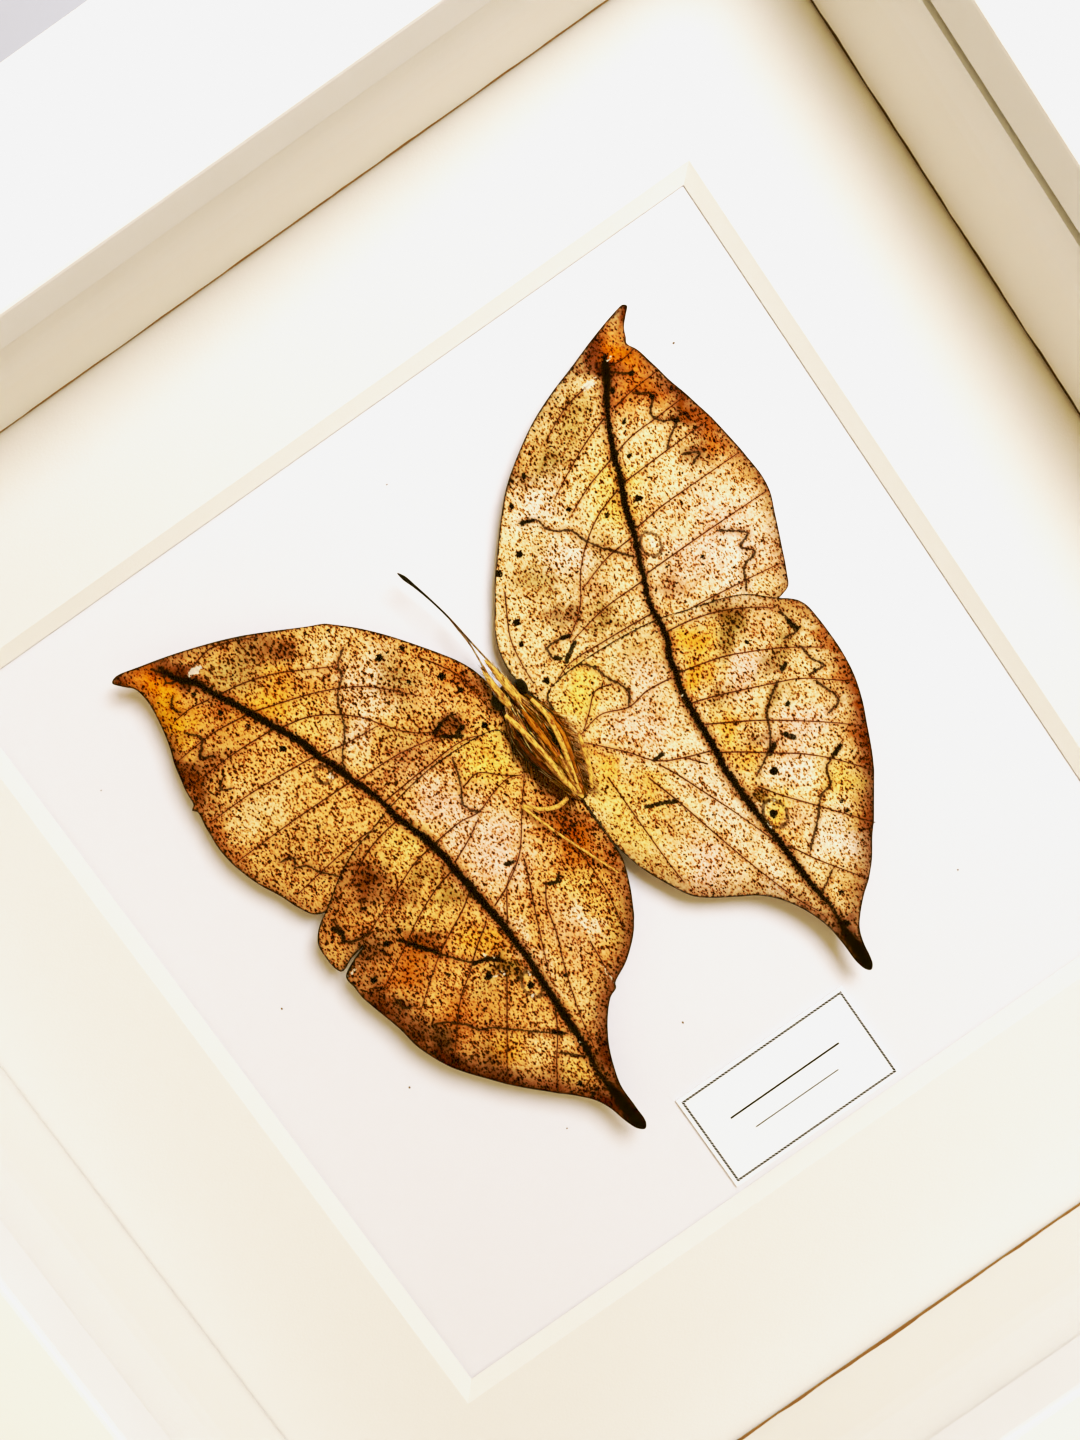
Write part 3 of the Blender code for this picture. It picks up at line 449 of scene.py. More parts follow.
forewingRight = {
    "outline": [(49.8, 61.9), (48.9, 60.9), (47.6, 59.5), (46.9, 58), (46.5, 57.2), (47.4, 55.3),
        (48.1, 52.5), (48.8, 49.2), (49.9, 45.3), (51, 40.7), (51.8, 36.3), (52.3, 32), (52.6, 28.2),
        (52.2, 25.3), (51, 22.2), (49.2, 17.7), (47.3, 13.2), (46.4, 11.5), (44.9, 10.9), (41, 10.4),
        (30, 9.6), (18, 10.2), (9, 12), (4.4, 14), (3.6, 18), (2.7, 21), (2.3, 23.6), (2, 25), (2, 26.4),
        (2.7, 30), (3.8, 32.4), (6.7, 36.5), (8.3, 38.8), (11, 42), (14.5, 46), (18.3, 49.8), (22.5, 52.8),
        (27.5, 55.7), (32.5, 57.7), (37.7, 59.3), (43, 61), (48.2, 62.3), (49.3, 62.4)],
    "veins": [[(39, 50), (43, 50.6), (47.5, 50.8)], [(35.5, 44.2), (39, 44.9), (43.5, 45), (49, 45.2)],
        [(33.3, 39.7), (40, 39.9), (50, 40.1)], [(31.5, 32.8), (37, 33.3), (43, 33.3), (51, 33.2)],
        [(28.8, 26), (40, 26), (51.5, 25.8)], [(26.2, 17.6), (31.5, 17.4), (40, 16.3), (47, 15.2)],
        [(37, 49.6), (33, 48.4), (28, 46.2), (23.5, 43.9)], [(34.5, 43.9), (29, 42.4), (24.5, 40.5)],
        [(32.3, 39.3), (28, 38), (24, 35.6), (20.5, 32.4), (17, 27.6), (12.8, 24.5)], [(30.2, 32),
        (25, 31.6), (19, 29.8)], [(27.7, 25.4), (20, 25.3), (13, 24)], [(8.7, 36.5), (6.7, 33), (5.2, 30),
        (4.4, 26), (4.1, 22)], [(38, 55.2), (33, 54.4), (27.5, 52)], [(26.5, 20.3), (18, 21), (10, 21.2),
        (5.5, 19)], [(40, 56.3), (44, 55.3), (46.5, 55.6)]],
    "waves": [[(17, 43.9), (18, 43.5), (19.4, 42.7), (19.7, 41), (21, 39.5), (22.5, 38.7), (23.2, 37.5),
        (23.6, 36), (24.7, 34.2), (26.5, 31.8), (28.5, 29.5)], [(42, 54.5), (44, 53)], [(43, 50),
        (45.2, 48.3), (43.3, 46), (43.9, 44.3), (46, 42.9), (44, 41.5), (42.5, 40.3)], [(44, 38),
        (46.3, 36.8), (44.5, 36)], [(42, 25), (44, 23.5), (45.5, 22), (43.3, 21), (44.8, 19), (42, 18),
        (41, 16), (40.3, 15)], [(13.2, 25), (11, 25.5), (9, 25.5)], [(9, 25.5), (8.9, 24.4), (9, 23.5)]],
    "thick": [[(13, 25), (12, 25.4)], [(10.3, 21.9), (11.8, 22.8), (13.2, 23.6)], [(17, 43.8),
        (18.6, 43.2)], [(9.2, 23.5), (9.9, 22.8)]],
    "rings": [(31.9, 29.4, 1.6, 2)],
    "dots": [(34.3, 36.4, 0.52), (37, 42.7, 0.36), (39.2, 47.5, 0.32), (40.4, 52.4, 0.4),
        (44.3, 52.8, 0.42), (45, 48.2, 0.42), (7.5, 31.5, 0.52), (6.1, 28.3, 0.42), (6, 21.2, 0.52),
        (9.5, 39.5, 0.55), (14, 40, 0.5), (17.2, 46.8, 0.4), (24.4, 41.3, 0.34), (37.6, 23, 0.26),
        (32.2, 25, 0.22), (28.8, 37, 0.3), (21.5, 49.5, 0.4), (46, 42.9, 0.45)],
    "flecks": [(37.9, 55.2, 1.3, 0.55), (32.3, 29.3, 0.36, 0.75), (42.6, 56.6, 0.5, 0.12)],
}

hindwingRight = {
    "outline": [(45, 10), (46.2, 8.8), (46.9, 7.3), (47.2, 5), (47.4, 1.5), (47.4, -2), (46.9, -6),
        (45.7, -10.4), (44.2, -13.8), (42.2, -18.3), (40, -22), (37.3, -26), (35.2, -28.7), (32.2, -32.8),
        (30, -35), (28.2, -36.5), (26, -38.7), (24.5, -40.7), (23.7, -43), (23.3, -45.3), (22.9, -46.6),
        (22.2, -47.2), (21.5, -46.6), (21, -44.8), (20.9, -41.5), (20.6, -38), (19.9, -35.4), (18.6, -32.4),
        (16.6, -29.3), (14.2, -26.9), (11, -24.9), (7.8, -22.9), (5.4, -20.8), (3.9, -18.3), (2.3, -15),
        (1.1, -12), (0.4, -9.3), (-0.1, -6.5), (-0.18, -3), (-0.22, 0.5), (-0.1, 3.6), (0.9, 6.2), (2.2, 9),
        (3.7, 11.8), (4.2, 16), (4.8, 19.3), (8, 20.4), (12, 20.6), (17, 20.4), (22, 19.9), (27, 19),
        (31, 17.7), (34, 16.8), (37.5, 15.6), (40.2, 14.2), (42.7, 11.9), (44.3, 10.5)],
    "veins": [[(25.7, 16.7), (30, 16), (34, 14.8), (37, 13.4), (40, 11.6), (42, 10)], [(23.5, 10.3),
        (31, 8.3), (35, 6.5), (40, 3.8), (45, 0.4)], [(22.7, 5.1), (26, 4), (31, 2), (35, 0.3), (39, -1.5),
        (45.5, -6.5)], [(22.7, 1), (27, -1.5), (31, -4), (39, -10), (43, -13.5)], [(22, -4), (25, -6),
        (29, -9), (33, -12), (37, -16), (40.5, -20.5)], [(24, -12), (26, -15), (30, -20), (36, -27.5)],
        [(22.5, -22.5), (25, -27), (28, -31.5), (30, -34.5)], [(22.5, 10.2), (18, 10.7), (14.5, 10.2),
        (10, 11.8), (5.5, 11)], [(21, -3), (17.5, -1.7), (13.2, 0.5), (10, 4.5), (5, 10)], [(19.5, -4.5),
        (17, -1.5)], [(13, 0), (14.5, -3), (16.5, -8), (18.5, -13), (21.3, -21)], [(10.5, -1), (12, -6),
        (13.5, -12), (15, -18), (17, -25), (19, -31), (20.5, -34)], [(5.2, 3), (5.3, -14), (5.5, -18)],
        [(14.3, 14.8), (11.5, 15.4), (8.5, 13), (6, 11)]],
    "waves": [[(42.7, 9), (43, 6.5), (43.5, 5), (41, 5)], [(42.2, 2.5), (42.5, 0), (43.5, -2), (41, -2)],
        [(41, -3.5), (42, -6), (42.4, -8), (40, -8.8)], [(38.5, -14), (36.5, -14.8), (34.5, -16),
        (33.8, -18.5), (31.5, -19), (28.5, -22.3), (25, -25.3)], [(26, -30), (24.3, -31.2), (22.7, -32)],
        [(36, 0), (32, -3), (30.5, -6), (29, -8), (25, -10.5)], [(12, 20.3), (13.5, 18.5), (14.2, 16),
        (15.5, 13.5), (15.8, 12), (14.5, 10.5)]],
    "thick": [[(12.7, 0.9), (14.5, 0.9)], [(7.5, -4.5), (9.6, -5.4), (12, -6.5)], [(42.8, 7), (43.3, 5.2)],
        [(38.7, 1.6), (37.6, 1.2)], [(32.4, -7.6), (33.2, -9)], [(30, -8), (28.6, -8.8)], [(38.5, -14.2),
        (36.8, -14.8)]],
    "rings": [(23.8, -17.3, 1.8, 2.4)],
    "dots": [(27.5, -11.5, 0.62), (23.5, -17.2, 0.6), (35.4, -3.9, 0.38), (32.4, -8, 0.3), (41.9, -2, 0.26),
        (33.7, -21.6, 0.3), (33.5, -23.4, 0.28), (25.3, -33.8, 0.38), (23, -38.3, 0.55), (35.6, 7.9, 0.3)],
    "flecks": [(22.9, -17, 0.16, 0.4), (24.4, -15.3, 0.4, 0.14), (22.4, 7, 0.2, 0.2),
        (21.9, -18.6, 0.14, 0.5), (25.9, -14.6, 0.3, 0.12)],
}

# The dark line that runs from tip to tail like a leaf's midrib: x, y and half its width
midribs = {
    "left": [(-42.3, 58, 0.2), (-41.6, 55.5, 0.45), (-40.5, 54, 0.6), (-39, 52.5, 0.5), (-38, 50, 0.48),
        (-37, 48, 0.5), (-36, 46, 0.55), (-35, 43.8, 0.55), (-34, 41.5, 0.55), (-33, 39.5, 0.58),
        (-32, 37.2, 0.55), (-31, 35, 0.58), (-30.7, 33, 0.5), (-30, 31, 0.45), (-29.3, 29.5, 0.55),
        (-28.3, 26, 0.48), (-27.5, 23.8, 0.5), (-26.7, 21.5, 0.42), (-26.2, 19.2, 0.4), (-26, 17.5, 0.5),
        (-25.4, 15.5, 0.5), (-24.8, 13.5, 0.55), (-24.2, 11.5, 0.6), (-23.8, 9.5, 0.58), (-23.5, 7, 0.55),
        (-23.3, 4.5, 0.58), (-23, 2, 0.6), (-22.8, -1, 0.62), (-22.5, -4, 0.62), (-22.2, -7, 0.55),
        (-22.2, -10, 0.5), (-22, -13, 0.5), (-22.2, -16, 0.52), (-22.4, -20, 0.55), (-22.5, -24, 0.6),
        (-22.6, -28, 0.55), (-22.9, -32, 0.5), (-23.4, -34.5, 0.3), (-23.4, -37, 0.35), (-23, -40, 0.8),
        (-22.9, -46.6, 0.8)],
    "right": [(42.4, 57.5, 0.3), (41.5, 56, 0.6), (40.5, 54, 0.6), (39, 52, 0.5), (37.8, 50, 0.42),
        (36.7, 48, 0.45), (35.8, 46, 0.5), (34.7, 43.5, 0.5), (34, 41, 0.48), (33, 39, 0.55),
        (31.9, 36.5, 0.55), (31.2, 34, 0.55), (30.4, 31.5, 0.45), (28.8, 28, 0.42), (28.2, 26, 0.45),
        (27.2, 23.8, 0.42), (26.4, 21.5, 0.42), (26, 18.5, 0.45), (25.5, 15.5, 0.5), (24.2, 13, 0.52),
        (23.7, 10.5, 0.5), (22.8, 8, 0.5), (22.4, 5, 0.52), (22.1, 2, 0.52), (22, -1, 0.55),
        (21.8, -3.5, 0.5), (21.3, -6, 0.5), (21.3, -13, 0.52), (21.5, -17, 0.48), (21.8, -21, 0.5),
        (21.9, -25, 0.52), (22, -29, 0.48), (22.3, -32.5, 0.4), (22.7, -35, 0.25), (22.3, -38, 0.35),
        (22.2, -41, 0.8), (22.2, -46.4, 0.8)],
}

# Soft patches of scale colour: x, y, the reach each way, the tone, how much of it, how dark its specks are
patches = {
    "left": [(-48.5, 59.6, 2.2, 1.6, "redBrown", 0.8, 0.2), (-44.5, 55, 3.6, 5.5, "orange", 1, -0.1),
        (-45.5, 49.5, 3.2, 4, "gold", 0.8, 0.1), (-40.2, 55.5, 2, 3, "redBrown", 0.75, 0.3),
        (-48.9, 41.5, 2.2, 6.5, "brown", 0.8, 0.4), (-44.6, 40.6, 2.8, 2.2, "brown", 0.5, 0.5),
        (-39, 44.5, 4.2, 4.2, "tan", 0.5, 0.2), (-38.8, 48.2, 2.2, 2.4, "amber", 0.6, 0.3),
        (-44, 31, 6.5, 4, "cream", 0.6, 0), (-50.5, 30, 1.4, 8, "amber", 0.5, 0.3),
        (-42, 20.5, 6.5, 6, "greyOlive", 0.35, 0.2), (-36, 15, 6, 3, "tan", 0.3, 0.2),
        (-33.5, 50.5, 5, 3.6, "greyOlive", 0.85, 0.25), (-26, 49.6, 3.6, 2.4, "brown", 0.6, 0.5),
        (-28.5, 53, 3.4, 1.6, "umber", 0.3, 0.5), (-30.5, 43.8, 5.5, 3, "gold", 0.6, 0.15),
        (-23.5, 42.6, 4, 2.6, "amber", 0.5, 0.25), (-27.5, 37.5, 4, 3.5, "ochre", 0.5, 0.1),
        (-19, 45, 5.5, 3, "cream", 0.7, 0.1), (-17, 37, 5.5, 4.5, "paleCream", 0.6, 0.2),
        (-24, 31.8, 3.5, 2, "paleCream", 0.6, 0.2), (-13.2, 34.5, 3, 4, "olive", 0.5, 0.35),
        (-9, 40, 2.5, 4, "tan", 0.4, 0.3), (-5, 31.5, 2.2, 6, "amber", 0.6, 0.3),
        (-3.2, 26, 1.6, 3.5, "redBrown", 0.5, 0.4), (-25.3, 28.4, 2.6, 2.6, "cream", 0.5, 0),
        (-19.5, 23.5, 5.5, 2.6, "mauve", 0.55, 0.4), (-17.5, 27.5, 3.5, 2.2, "greyOlive", 0.5, 0.2),
        (-10.8, 24, 2.6, 1.9, "brown", 0.75, 0.5), (-10.5, 30, 3, 3, "rose", 0.4, 0.2),
        (-8.8, 16.5, 3.8, 4.2, "yellow", 0.8, 0.05), (-19, 15, 4, 4.5, "lilac", 0.8, 0.05),
        (-16.5, 4, 5.5, 6.5, "lilac", 0.9, 0), (-36, 11, 3.3, 3.2, "brown", 0.8, 0.6),
        (-42.5, 8.5, 2.8, 3.4, "tan", 0.6, 0.3), (-28, 13, 3.6, 3, "ochre", 0.8, 0.1),
        (-33.3, 6.8, 2.6, 2.2, "brown", 0.5, 0.4), (-28, 6.8, 3.4, 1.8, "olive", 0.5, 0.3),
        (-26, 2.2, 2.6, 2, "olive", 0.6, 0.4), (-31.5, 1.5, 3, 2.4, "ochre", 0.5, 0.15),
        (-40.5, 2.2, 4.6, 2.4, "umber", 0.5, 0.7), (-37.5, -3.5, 5.5, 3.8, "amber", 0.75, 0.35),
        (-34.5, -1.2, 2.6, 2.2, "brown", 0.6, 0.6), (-44.6, -6.5, 2.2, 6, "brown", 0.6, 0.45),
        (-26.3, -6.8, 3.2, 2.8, "gold", 0.55, 0.5), (-29.5, -13, 3, 2.2, "greyOlive", 0.5, 0.15),
        (-25.4, -12, 1.8, 2.4, "olive", 0.9, 0.8), (-37, -15, 4.6, 3.6, "amber", 0.6, 0.35),
        (-41.5, -18, 2.4, 6.5, "umber", 0.75, 0.6), (-36.5, -26, 3, 4.5, "umber", 0.6, 0.5),
        (-31, -18, 3.6, 3.2, "tan", 0.45, 0.35), (-28.5, -26.5, 4.5, 4, "cream", 0.5, 0.2),
        (-33, -23.5, 2.8, 2.2, "gold", 0.5, 0.25), (-30.5, -33, 3, 2.2, "brown", 0.5, 0.4),
        (-25.3, -33.5, 2.6, 3, "ochre", 0.6, 0.3), (-24.8, -39.5, 1.6, 2.6, "redBrown", 0.85, 0.6),
        (-20.3, -34, 1.6, 3.2, "brown", 0.75, 0.5), (-22.9, -45.5, 2.2, 3.8, "black", 1, 0.8),
        (-5.2, -3.5, 3.6, 7, "amber", 0.85, 0.55), (-3.4, 3.5, 1.8, 5, "brown", 0.6, 0.6),
        (-8.6, -9, 3.2, 4, "ochre", 0.5, 0.5), (-14.5, -14, 2.8, 6.5, "rose", 0.7, 0.1),
        (-10.8, -14.5, 1.6, 3.6, "paleCream", 0.5, 0.1), (-6.8, -17, 2.6, 3.2, "ochre", 0.6, 0.1),
        (-18.6, -23, 2, 6.5, "cream", 0.45, 0.1), (-20.9, -12, 1.2, 9, "paleCream", 0.45, 0),
        (-17.3, 9.5, 3.5, 2, "paleCream", 0.4, 0)],
    "right": [(48.3, 60.8, 2.2, 1.6, "redBrown", 0.85, 0.2), (44.2, 56.5, 3.4, 4.5, "orange", 1, -0.1),
        (45.2, 50, 2.8, 4.2, "amber", 0.75, 0.2), (41, 50.5, 2.6, 3.2, "amber", 0.6, 0.25),
        (40.6, 55.8, 2, 3.2, "redBrown", 0.9, 0.5), (42, 58.8, 2.6, 1.2, "redBrown", 0.6, 0.4),
        (48.4, 44.5, 2, 5, "brown", 0.8, 0.5), (49.5, 37.5, 2.2, 5.5, "amber", 0.75, 0.4),
        (46.2, 37.5, 2.2, 2.6, "brown", 0.45, 0.4), (39.5, 43, 3.6, 2.2, "cream", 0.7, 0.1),
        (38.4, 36.8, 4.2, 2.8, "cream", 0.6, 0.1), (32.5, 52.3, 4.6, 3.6, "greyOlive", 0.8, 0.35),
        (20.8, 49.8, 2.2, 1.8, "brown", 0.5, 0.6), (26, 48.4, 2.4, 2.6, "olive", 0.65, 0.6),
        (22.5, 52, 4, 1.6, "tan", 0.5, 0.4), (31.5, 39.5, 3.8, 5.5, "yellow", 0.75, 0.2),
        (21, 44.5, 4.2, 3, "paleCream", 0.75, 0.15), (27.5, 43.5, 3.5, 3, "cream", 0.5, 0.3),
        (14.5, 35.5, 3.2, 3.6, "olive", 0.45, 0.4), (20.5, 35, 3.6, 3.4, "paleCream", 0.7, 0.2),
        (24.2, 33, 2.6, 2.6, "greyOlive", 0.5, 0.1), (8.6, 33, 2.8, 4.2, "cream", 0.6, 0.1),
        (10, 28.3, 2.2, 3.4, "cream", 0.5, 0.1), (14.8, 28.2, 2.6, 2.2, "brown", 0.55, 0.5),
        (20.6, 28.5, 2.6, 2.2, "mauve", 0.4, 0.4), (19.5, 23.8, 2.8, 2.2, "olive", 0.6, 0.4),
        (23.8, 24.5, 2, 3, "cream", 0.5, 0.1), (40, 25, 8.5, 7.5, "lilac", 0.85, 0),
        (42, 20, 5.5, 4.5, "paleCream", 0.6, 0), (31.4, 22.8, 2, 2.6, "mauve", 0.6, 0.45),
        (37, 29.5, 4.5, 2.2, "cream", 0.6, 0), (51.6, 28, 1.2, 6, "tan", 0.5, 0.2),
        (46.5, 16, 2.2, 3.6, "rose", 0.5, 0.2), (9.5, 16.5, 4.2, 4, "yellow", 0.75, 0.1),
        (20, 15.5, 3.8, 4.2, "greyOlive", 0.5, 0.05), (19.5, 12, 3.2, 3.6, "lilac", 0.5, 0),
        (28.4, 13, 3.4, 2.6, "gold", 0.7, 0.15), (27, 7.8, 3.6, 2.2, "gold", 0.75, 0.15),
        (35.2, 11.8, 2.4, 2.8, "olive", 0.85, 0.5), (33.2, 9.4, 2.2, 2, "olive", 0.5, 0.4),
        (39.5, 8.8, 2.8, 2.8, "rose", 0.5, 0.3), (44.5, 9.5, 2.2, 2.4, "tan", 0.5, 0.2),
        (31.8, 4.6, 3.6, 2.6, "lilac", 0.85, 0.1), (27.2, 2.6, 2.2, 1.6, "olive", 0.45, 0.3),
        (37, 2.9, 2.6, 1.6, "brown", 0.5, 0.4), (39.6, 4.6, 2.6, 1.8, "olive", 0.45, 0.4),
        (33.5, -2.2, 3, 1.3, "olive", 0.5, 0.4), (29.6, -6.8, 2.4, 1.5, "brown", 0.5, 0.5),
        (46.6, -0.5, 1.3, 8, "amber", 0.7, 0.3), (45.4, -9.5, 1.5, 5.5, "amber", 0.8, 0.35),
        (24.7, -1.8, 2.2, 2.6, "gold", 0.6, 0.4), (24.8, -7.5, 2.4, 2.2, "gold", 0.55, 0.3),
        (35, -8.2, 4.8, 3.4, "lilac", 0.8, 0.05), (30.5, -12.6, 3.6, 2.6, "paleCream", 0.85, 0),
        (23.8, -13.2, 1.8, 1.8, "olive", 0.9, 0.5), (24, -17.6, 2.2, 2.4, "yellow", 0.8, 0.1),
        (26.4, -20.2, 2.6, 1.8, "rose", 0.75, 0.2), (36, -19.5, 3.2, 3.2, "yellow", 0.6, 0.3),
        (30.5, -26.2, 4.2, 4.2, "paleCream", 0.7, 0), (35.2, -25.6, 2.2, 2.2, "ochre", 0.5, 0.2),
        (42, -16.5, 1.7, 4.2, "amber", 0.8, 0.35), (36.4, -27, 2, 3, "amber", 0.6, 0.4),
        (27.5, -35, 2.6, 2.4, "tan", 0.4, 0.3), (24.2, -34, 1.8, 3, "cream", 0.4, 0.2),
        (3.2, -4, 3, 9, "ochre", 0.8, 0), (6, 5, 1.8, 4.5, "gold", 0.55, 0.1),
        (9.5, -2.5, 2.2, 4.5, "gold", 0.45, 0.2), (8.4, -9.5, 2.2, 3.2, "tan", 0.25, 0.1),
        (14, 6.5, 4.5, 5, "lilac", 0.6, 0), (17.3, -10, 2.4, 8, "paleCream", 0.55, 0),
        (10.5, -18.5, 3.6, 4.5, "lilac", 0.8, 0.15), (17.6, -26, 1.8, 4.5, "paleCream", 0.45, 0.2),
        (20.6, -12, 1.2, 14, "paleCream", 0.35, 0), (22.4, -38.5, 1.8, 2.6, "redBrown", 0.6, 0.5),
        (19.3, -34, 1.2, 2.6, "brown", 0.6, 0.4), (22.2, -44.8, 2.4, 4, "black", 1, 0.8)],
}


def smoothLine(points, gap, closed=False):
    # centripetal Catmull-Rom through the points, with a point about every gap
    ring = [np.array(point, float) for point in points]
    ends = ring[-1:] + ring + ring[:2]
    if not closed:
        ends = [2 * ring[0] - ring[1]] + ring + [2 * ring[-1] - ring[-2]]
    line = []
    for four in zip(ends, ends[1:], ends[2:], ends[3:]):
        lengths = [max(np.linalg.norm(q - p), 1e-9) for p, q in zip(four, four[1:])]
        knots = np.cumsum([0.0] + [length ** 0.5 for length in lengths])
        steps = max(1, math.ceil(lengths[1] / gap))
        for step in range(steps):
            t = knots[1] + (knots[2] - knots[1]) * step / steps
            level = list(four)
            for first, span in ((0, 1), (0, 2), (1, 1)):
                level = [
                    a + (b - a) * (t - knots[first + i]) / (knots[first + i + span] - knots[first + i])
                    for i, (a, b) in enumerate(zip(level, level[1:]))]
            line.append(level[0])
    return line if closed else line + ring[-1:]


def reach(places, lines, closed=False, sided=False):
    # distance from each place to the nearest of the lines, less the line's half width where it has one
    best = np.full(len(places), 99.0)
    hand = np.ones(len(places))
    for line in lines:
        points = np.array(line, float)
        if closed:
            points = np.vstack([points, points[:1]])
        for a, b in zip(points, points[1:]):
            run = b[:2] - a[:2]
            share = np.clip(((places - a[:2]) @ run) / max(run @ run, 1e-9), 0, 1)
            away = np.hypot(*(places - a[:2] - share[:, None] * run).T)
            if len(a) > 2:
                away = away - (a[2] + (b[2] - a[2]) * share)
            if sided:
                turn = run[0] * (places[:, 1] - a[1]) - run[1] * (places[:, 0] - a[0])
                hand = np.where(away < best, np.sign(turn), hand)
            best = np.minimum(best, away)
    return best * hand if sided else best


def near(away, width):
    # one on a line, fading out over a width in millimetres
    return np.exp(-(away / width) ** 2)


def wingSurface(places, wing, side, isHind):
    # height of the wing's visible face, risen from the root, with ridged veins and sagging membrane
    plan = wingPlan
    out = np.hypot(places[:, 0] - plan["root"][0], places[:, 1] - plan["root"][1]) / plan["reach"]
    height = plan["underside"] + plan["cadThickness"] + plan["rise"] * out ** plan["power"]
    if isHind:
        height = height + plan["hindwingAbove"]
    vein = reach(places, wing["smoothVeins"])
    rib = np.maximum(reach(places, [midribs[side]]), 0)
    height = height + plan["veinRidge"][0] * near(vein, plan["veinRidge"][1])
    height = height + plan["ribRidge"][0] * near(rib, plan["ribRidge"][1])
    height = height - plan["sag"][0] * (1 - near(vein, plan["sag"][1]))
    x, y = places.T
    wave = np.sin(x * 0.55 + 1.3 * np.sin(y * 0.21)) * np.sin(y * 0.42 + 0.9 * np.sin(x * 0.33 + 1.0))
    return height + plan["ripple"] * wave


def writeAttribute(mesh, name, values):
    # one number, or one colour with its alpha, for each point
    values = np.asarray(values, np.float32)
    isColour = values.ndim == 2
    layer = mesh.attributes.new(name, "FLOAT_COLOR" if isColour else "FLOAT", "POINT")
    layer.data.foreach_set("color" if isColour else "value", values.ravel())


def ovalGap(x, y, ovals, hollow=False):
    # distance outside the nearest of some ovals, or from its line where they are hollow
    nearest = np.full(len(x), 9.0)
    for cx, cy, rx, ry in ovals:
        away = (np.hypot((x - cx) / rx, (y - cy) / ry) - 1) * min(rx, ry)
        nearest = np.minimum(nearest, np.abs(away) if hollow else away)
    return nearest


def blend(base, hexText, amount):
    return base + (np.array(colour(hexText)[:3]) - base) * amount[:, None]


def edgeDark(x, y, side, isHind):
    # how dark the margin is round the wing: strong along the outer margin, faint along the front edge
    outer = np.clip((np.abs(x) - 20) / 18, 0, 1)
    low = np.clip((4 - y) / 20, 0, 1)
    return np.clip(0.45 * outer + (1.0 if side == "left" else 0.6) * low, 0, 1) if isHind else 0.6 * outer


def paintWing(piece, wing, side, isHind, veinCount):
    # every point's own tone and its distances, in millimetres, from the marks that the shader draws
    mesh = piece.data
    spots = np.empty(len(mesh.vertices) * 3, np.float32)
    mesh.vertices.foreach_get("co", spots)
    places = spots.reshape(-1, 3)[:, :2].astype(float) * 1000
    x, y = places.T
    swirlX = x + 0.9 * np.sin(y * 0.9 + 0.7 * np.sin(x * 1.1)) + 0.45 * np.sin(y * 2.3 + x * 1.7)
    swirlY = y + 0.9 * np.sin(x * 0.8 + 0.6 * np.sin(y * 1.2) + 2) + 0.45 * np.sin(x * 2.1 - y * 1.9)
    ground, speckled = wingPlan["grounds"][side]
    base = np.tile(np.array(colour(ground)[:3]), (len(x), 1))
    pepper = np.full(len(x), speckled)
    for px, py, rx, ry, tone, amount, dark in patches[side]:
        cover = np.exp(-(((swirlX - px) / rx) ** 2 + ((swirlY - py) / ry) ** 2) ** 1.3 / 1.35)
        base = blend(base, tones[tone], min(1.25 * amount, 1.0) * cover)
        pepper = pepper + (dark - pepper) * amount * cover
    rim = reach(places, [wing["smoothOutline"]], closed=True)
    rib = reach(places, [midribs[side]])
    # the midrib's olive inner edge, the veins' stain and the dark margin
    ribX, ribY = np.abs(np.array(midribs[side])[::-1, 0]), np.array(midribs[side])[::-1, 1]
    inner = (np.abs(x) <= np.interp(y, ribY, ribX)) * (y < 16)
    tone, amount, width = wingPlan["ribEdge"]
    base = blend(base, tone, amount * near(np.clip(rib, 0, 9), width) * inner)
    tone, amount, width = wingPlan["veinStain"]
    base = blend(base, tone, amount * near(reach(places, wing["smoothVeins"]), width))
    tone, amount = wingPlan["margin"]
    band = near(rim, wingPlan["marginBand"][isHind]) * edgeDark(x, y, side, isHind)
    base = blend(base, tone, amount * band)
    # the tones as they look under the lamp, brought down to what the scales themselves reflect
    base = np.minimum(base * wingPlan["reflectance"], 1.0)
    writeAttribute(mesh, "tone", np.hstack([base, np.ones((len(x), 1))]))
    offVein = np.ones(len(x))
    offVein[-veinCount:] = 0.0
    marks = {
        "pepper": pepper, "rim": rim, "rib": rib, "vein": offVein,
        "wave": reach(places, wing["smoothWaves"]), "thick": reach(places, wing["thick"]),
        "waveSide": reach(places, wing["smoothWaves"], sided=True),
        "dots": ovalGap(x, y, [(*dot, dot[2]) for dot in wing["dots"]]),
        "ring": ovalGap(x, y, wing["rings"], hollow=True), "flecks": ovalGap(x, y, wing["flecks"]),
    }
    for name, values in marks.items():
        writeAttribute(mesh, name, values)


def makeTubes(name, lines, sides=2):
    # round tapering tubes along lines of x, y, z and radius in millimetres, drawn as one curve
    curve = bpy.data.curves.new(name, "CURVE")
    curve.dimensions = "3D"
    curve.bevel_depth = mm
    curve.bevel_resolution = sides
    curve.use_fill_caps = True
    for line in lines:
        spline = curve.splines.new("POLY")
        spline.points.add(len(line) - 1)
        for point, (x, y, z, radius) in zip(spline.points, line):
            point.co = (x * mm, y * mm, z * mm, 1)
            point.radius = max(radius, 0.03)
    tubes = bpy.data.objects.new(name, curve)
    bpy.context.scene.collection.objects.link(tubes)
    bpy.ops.object.select_all(action="DESELECT")
    tubes.select_set(True)
    bpy.context.view_layer.objects.active = tubes
    bpy.ops.object.convert(target="MESH")
    return bpy.context.object


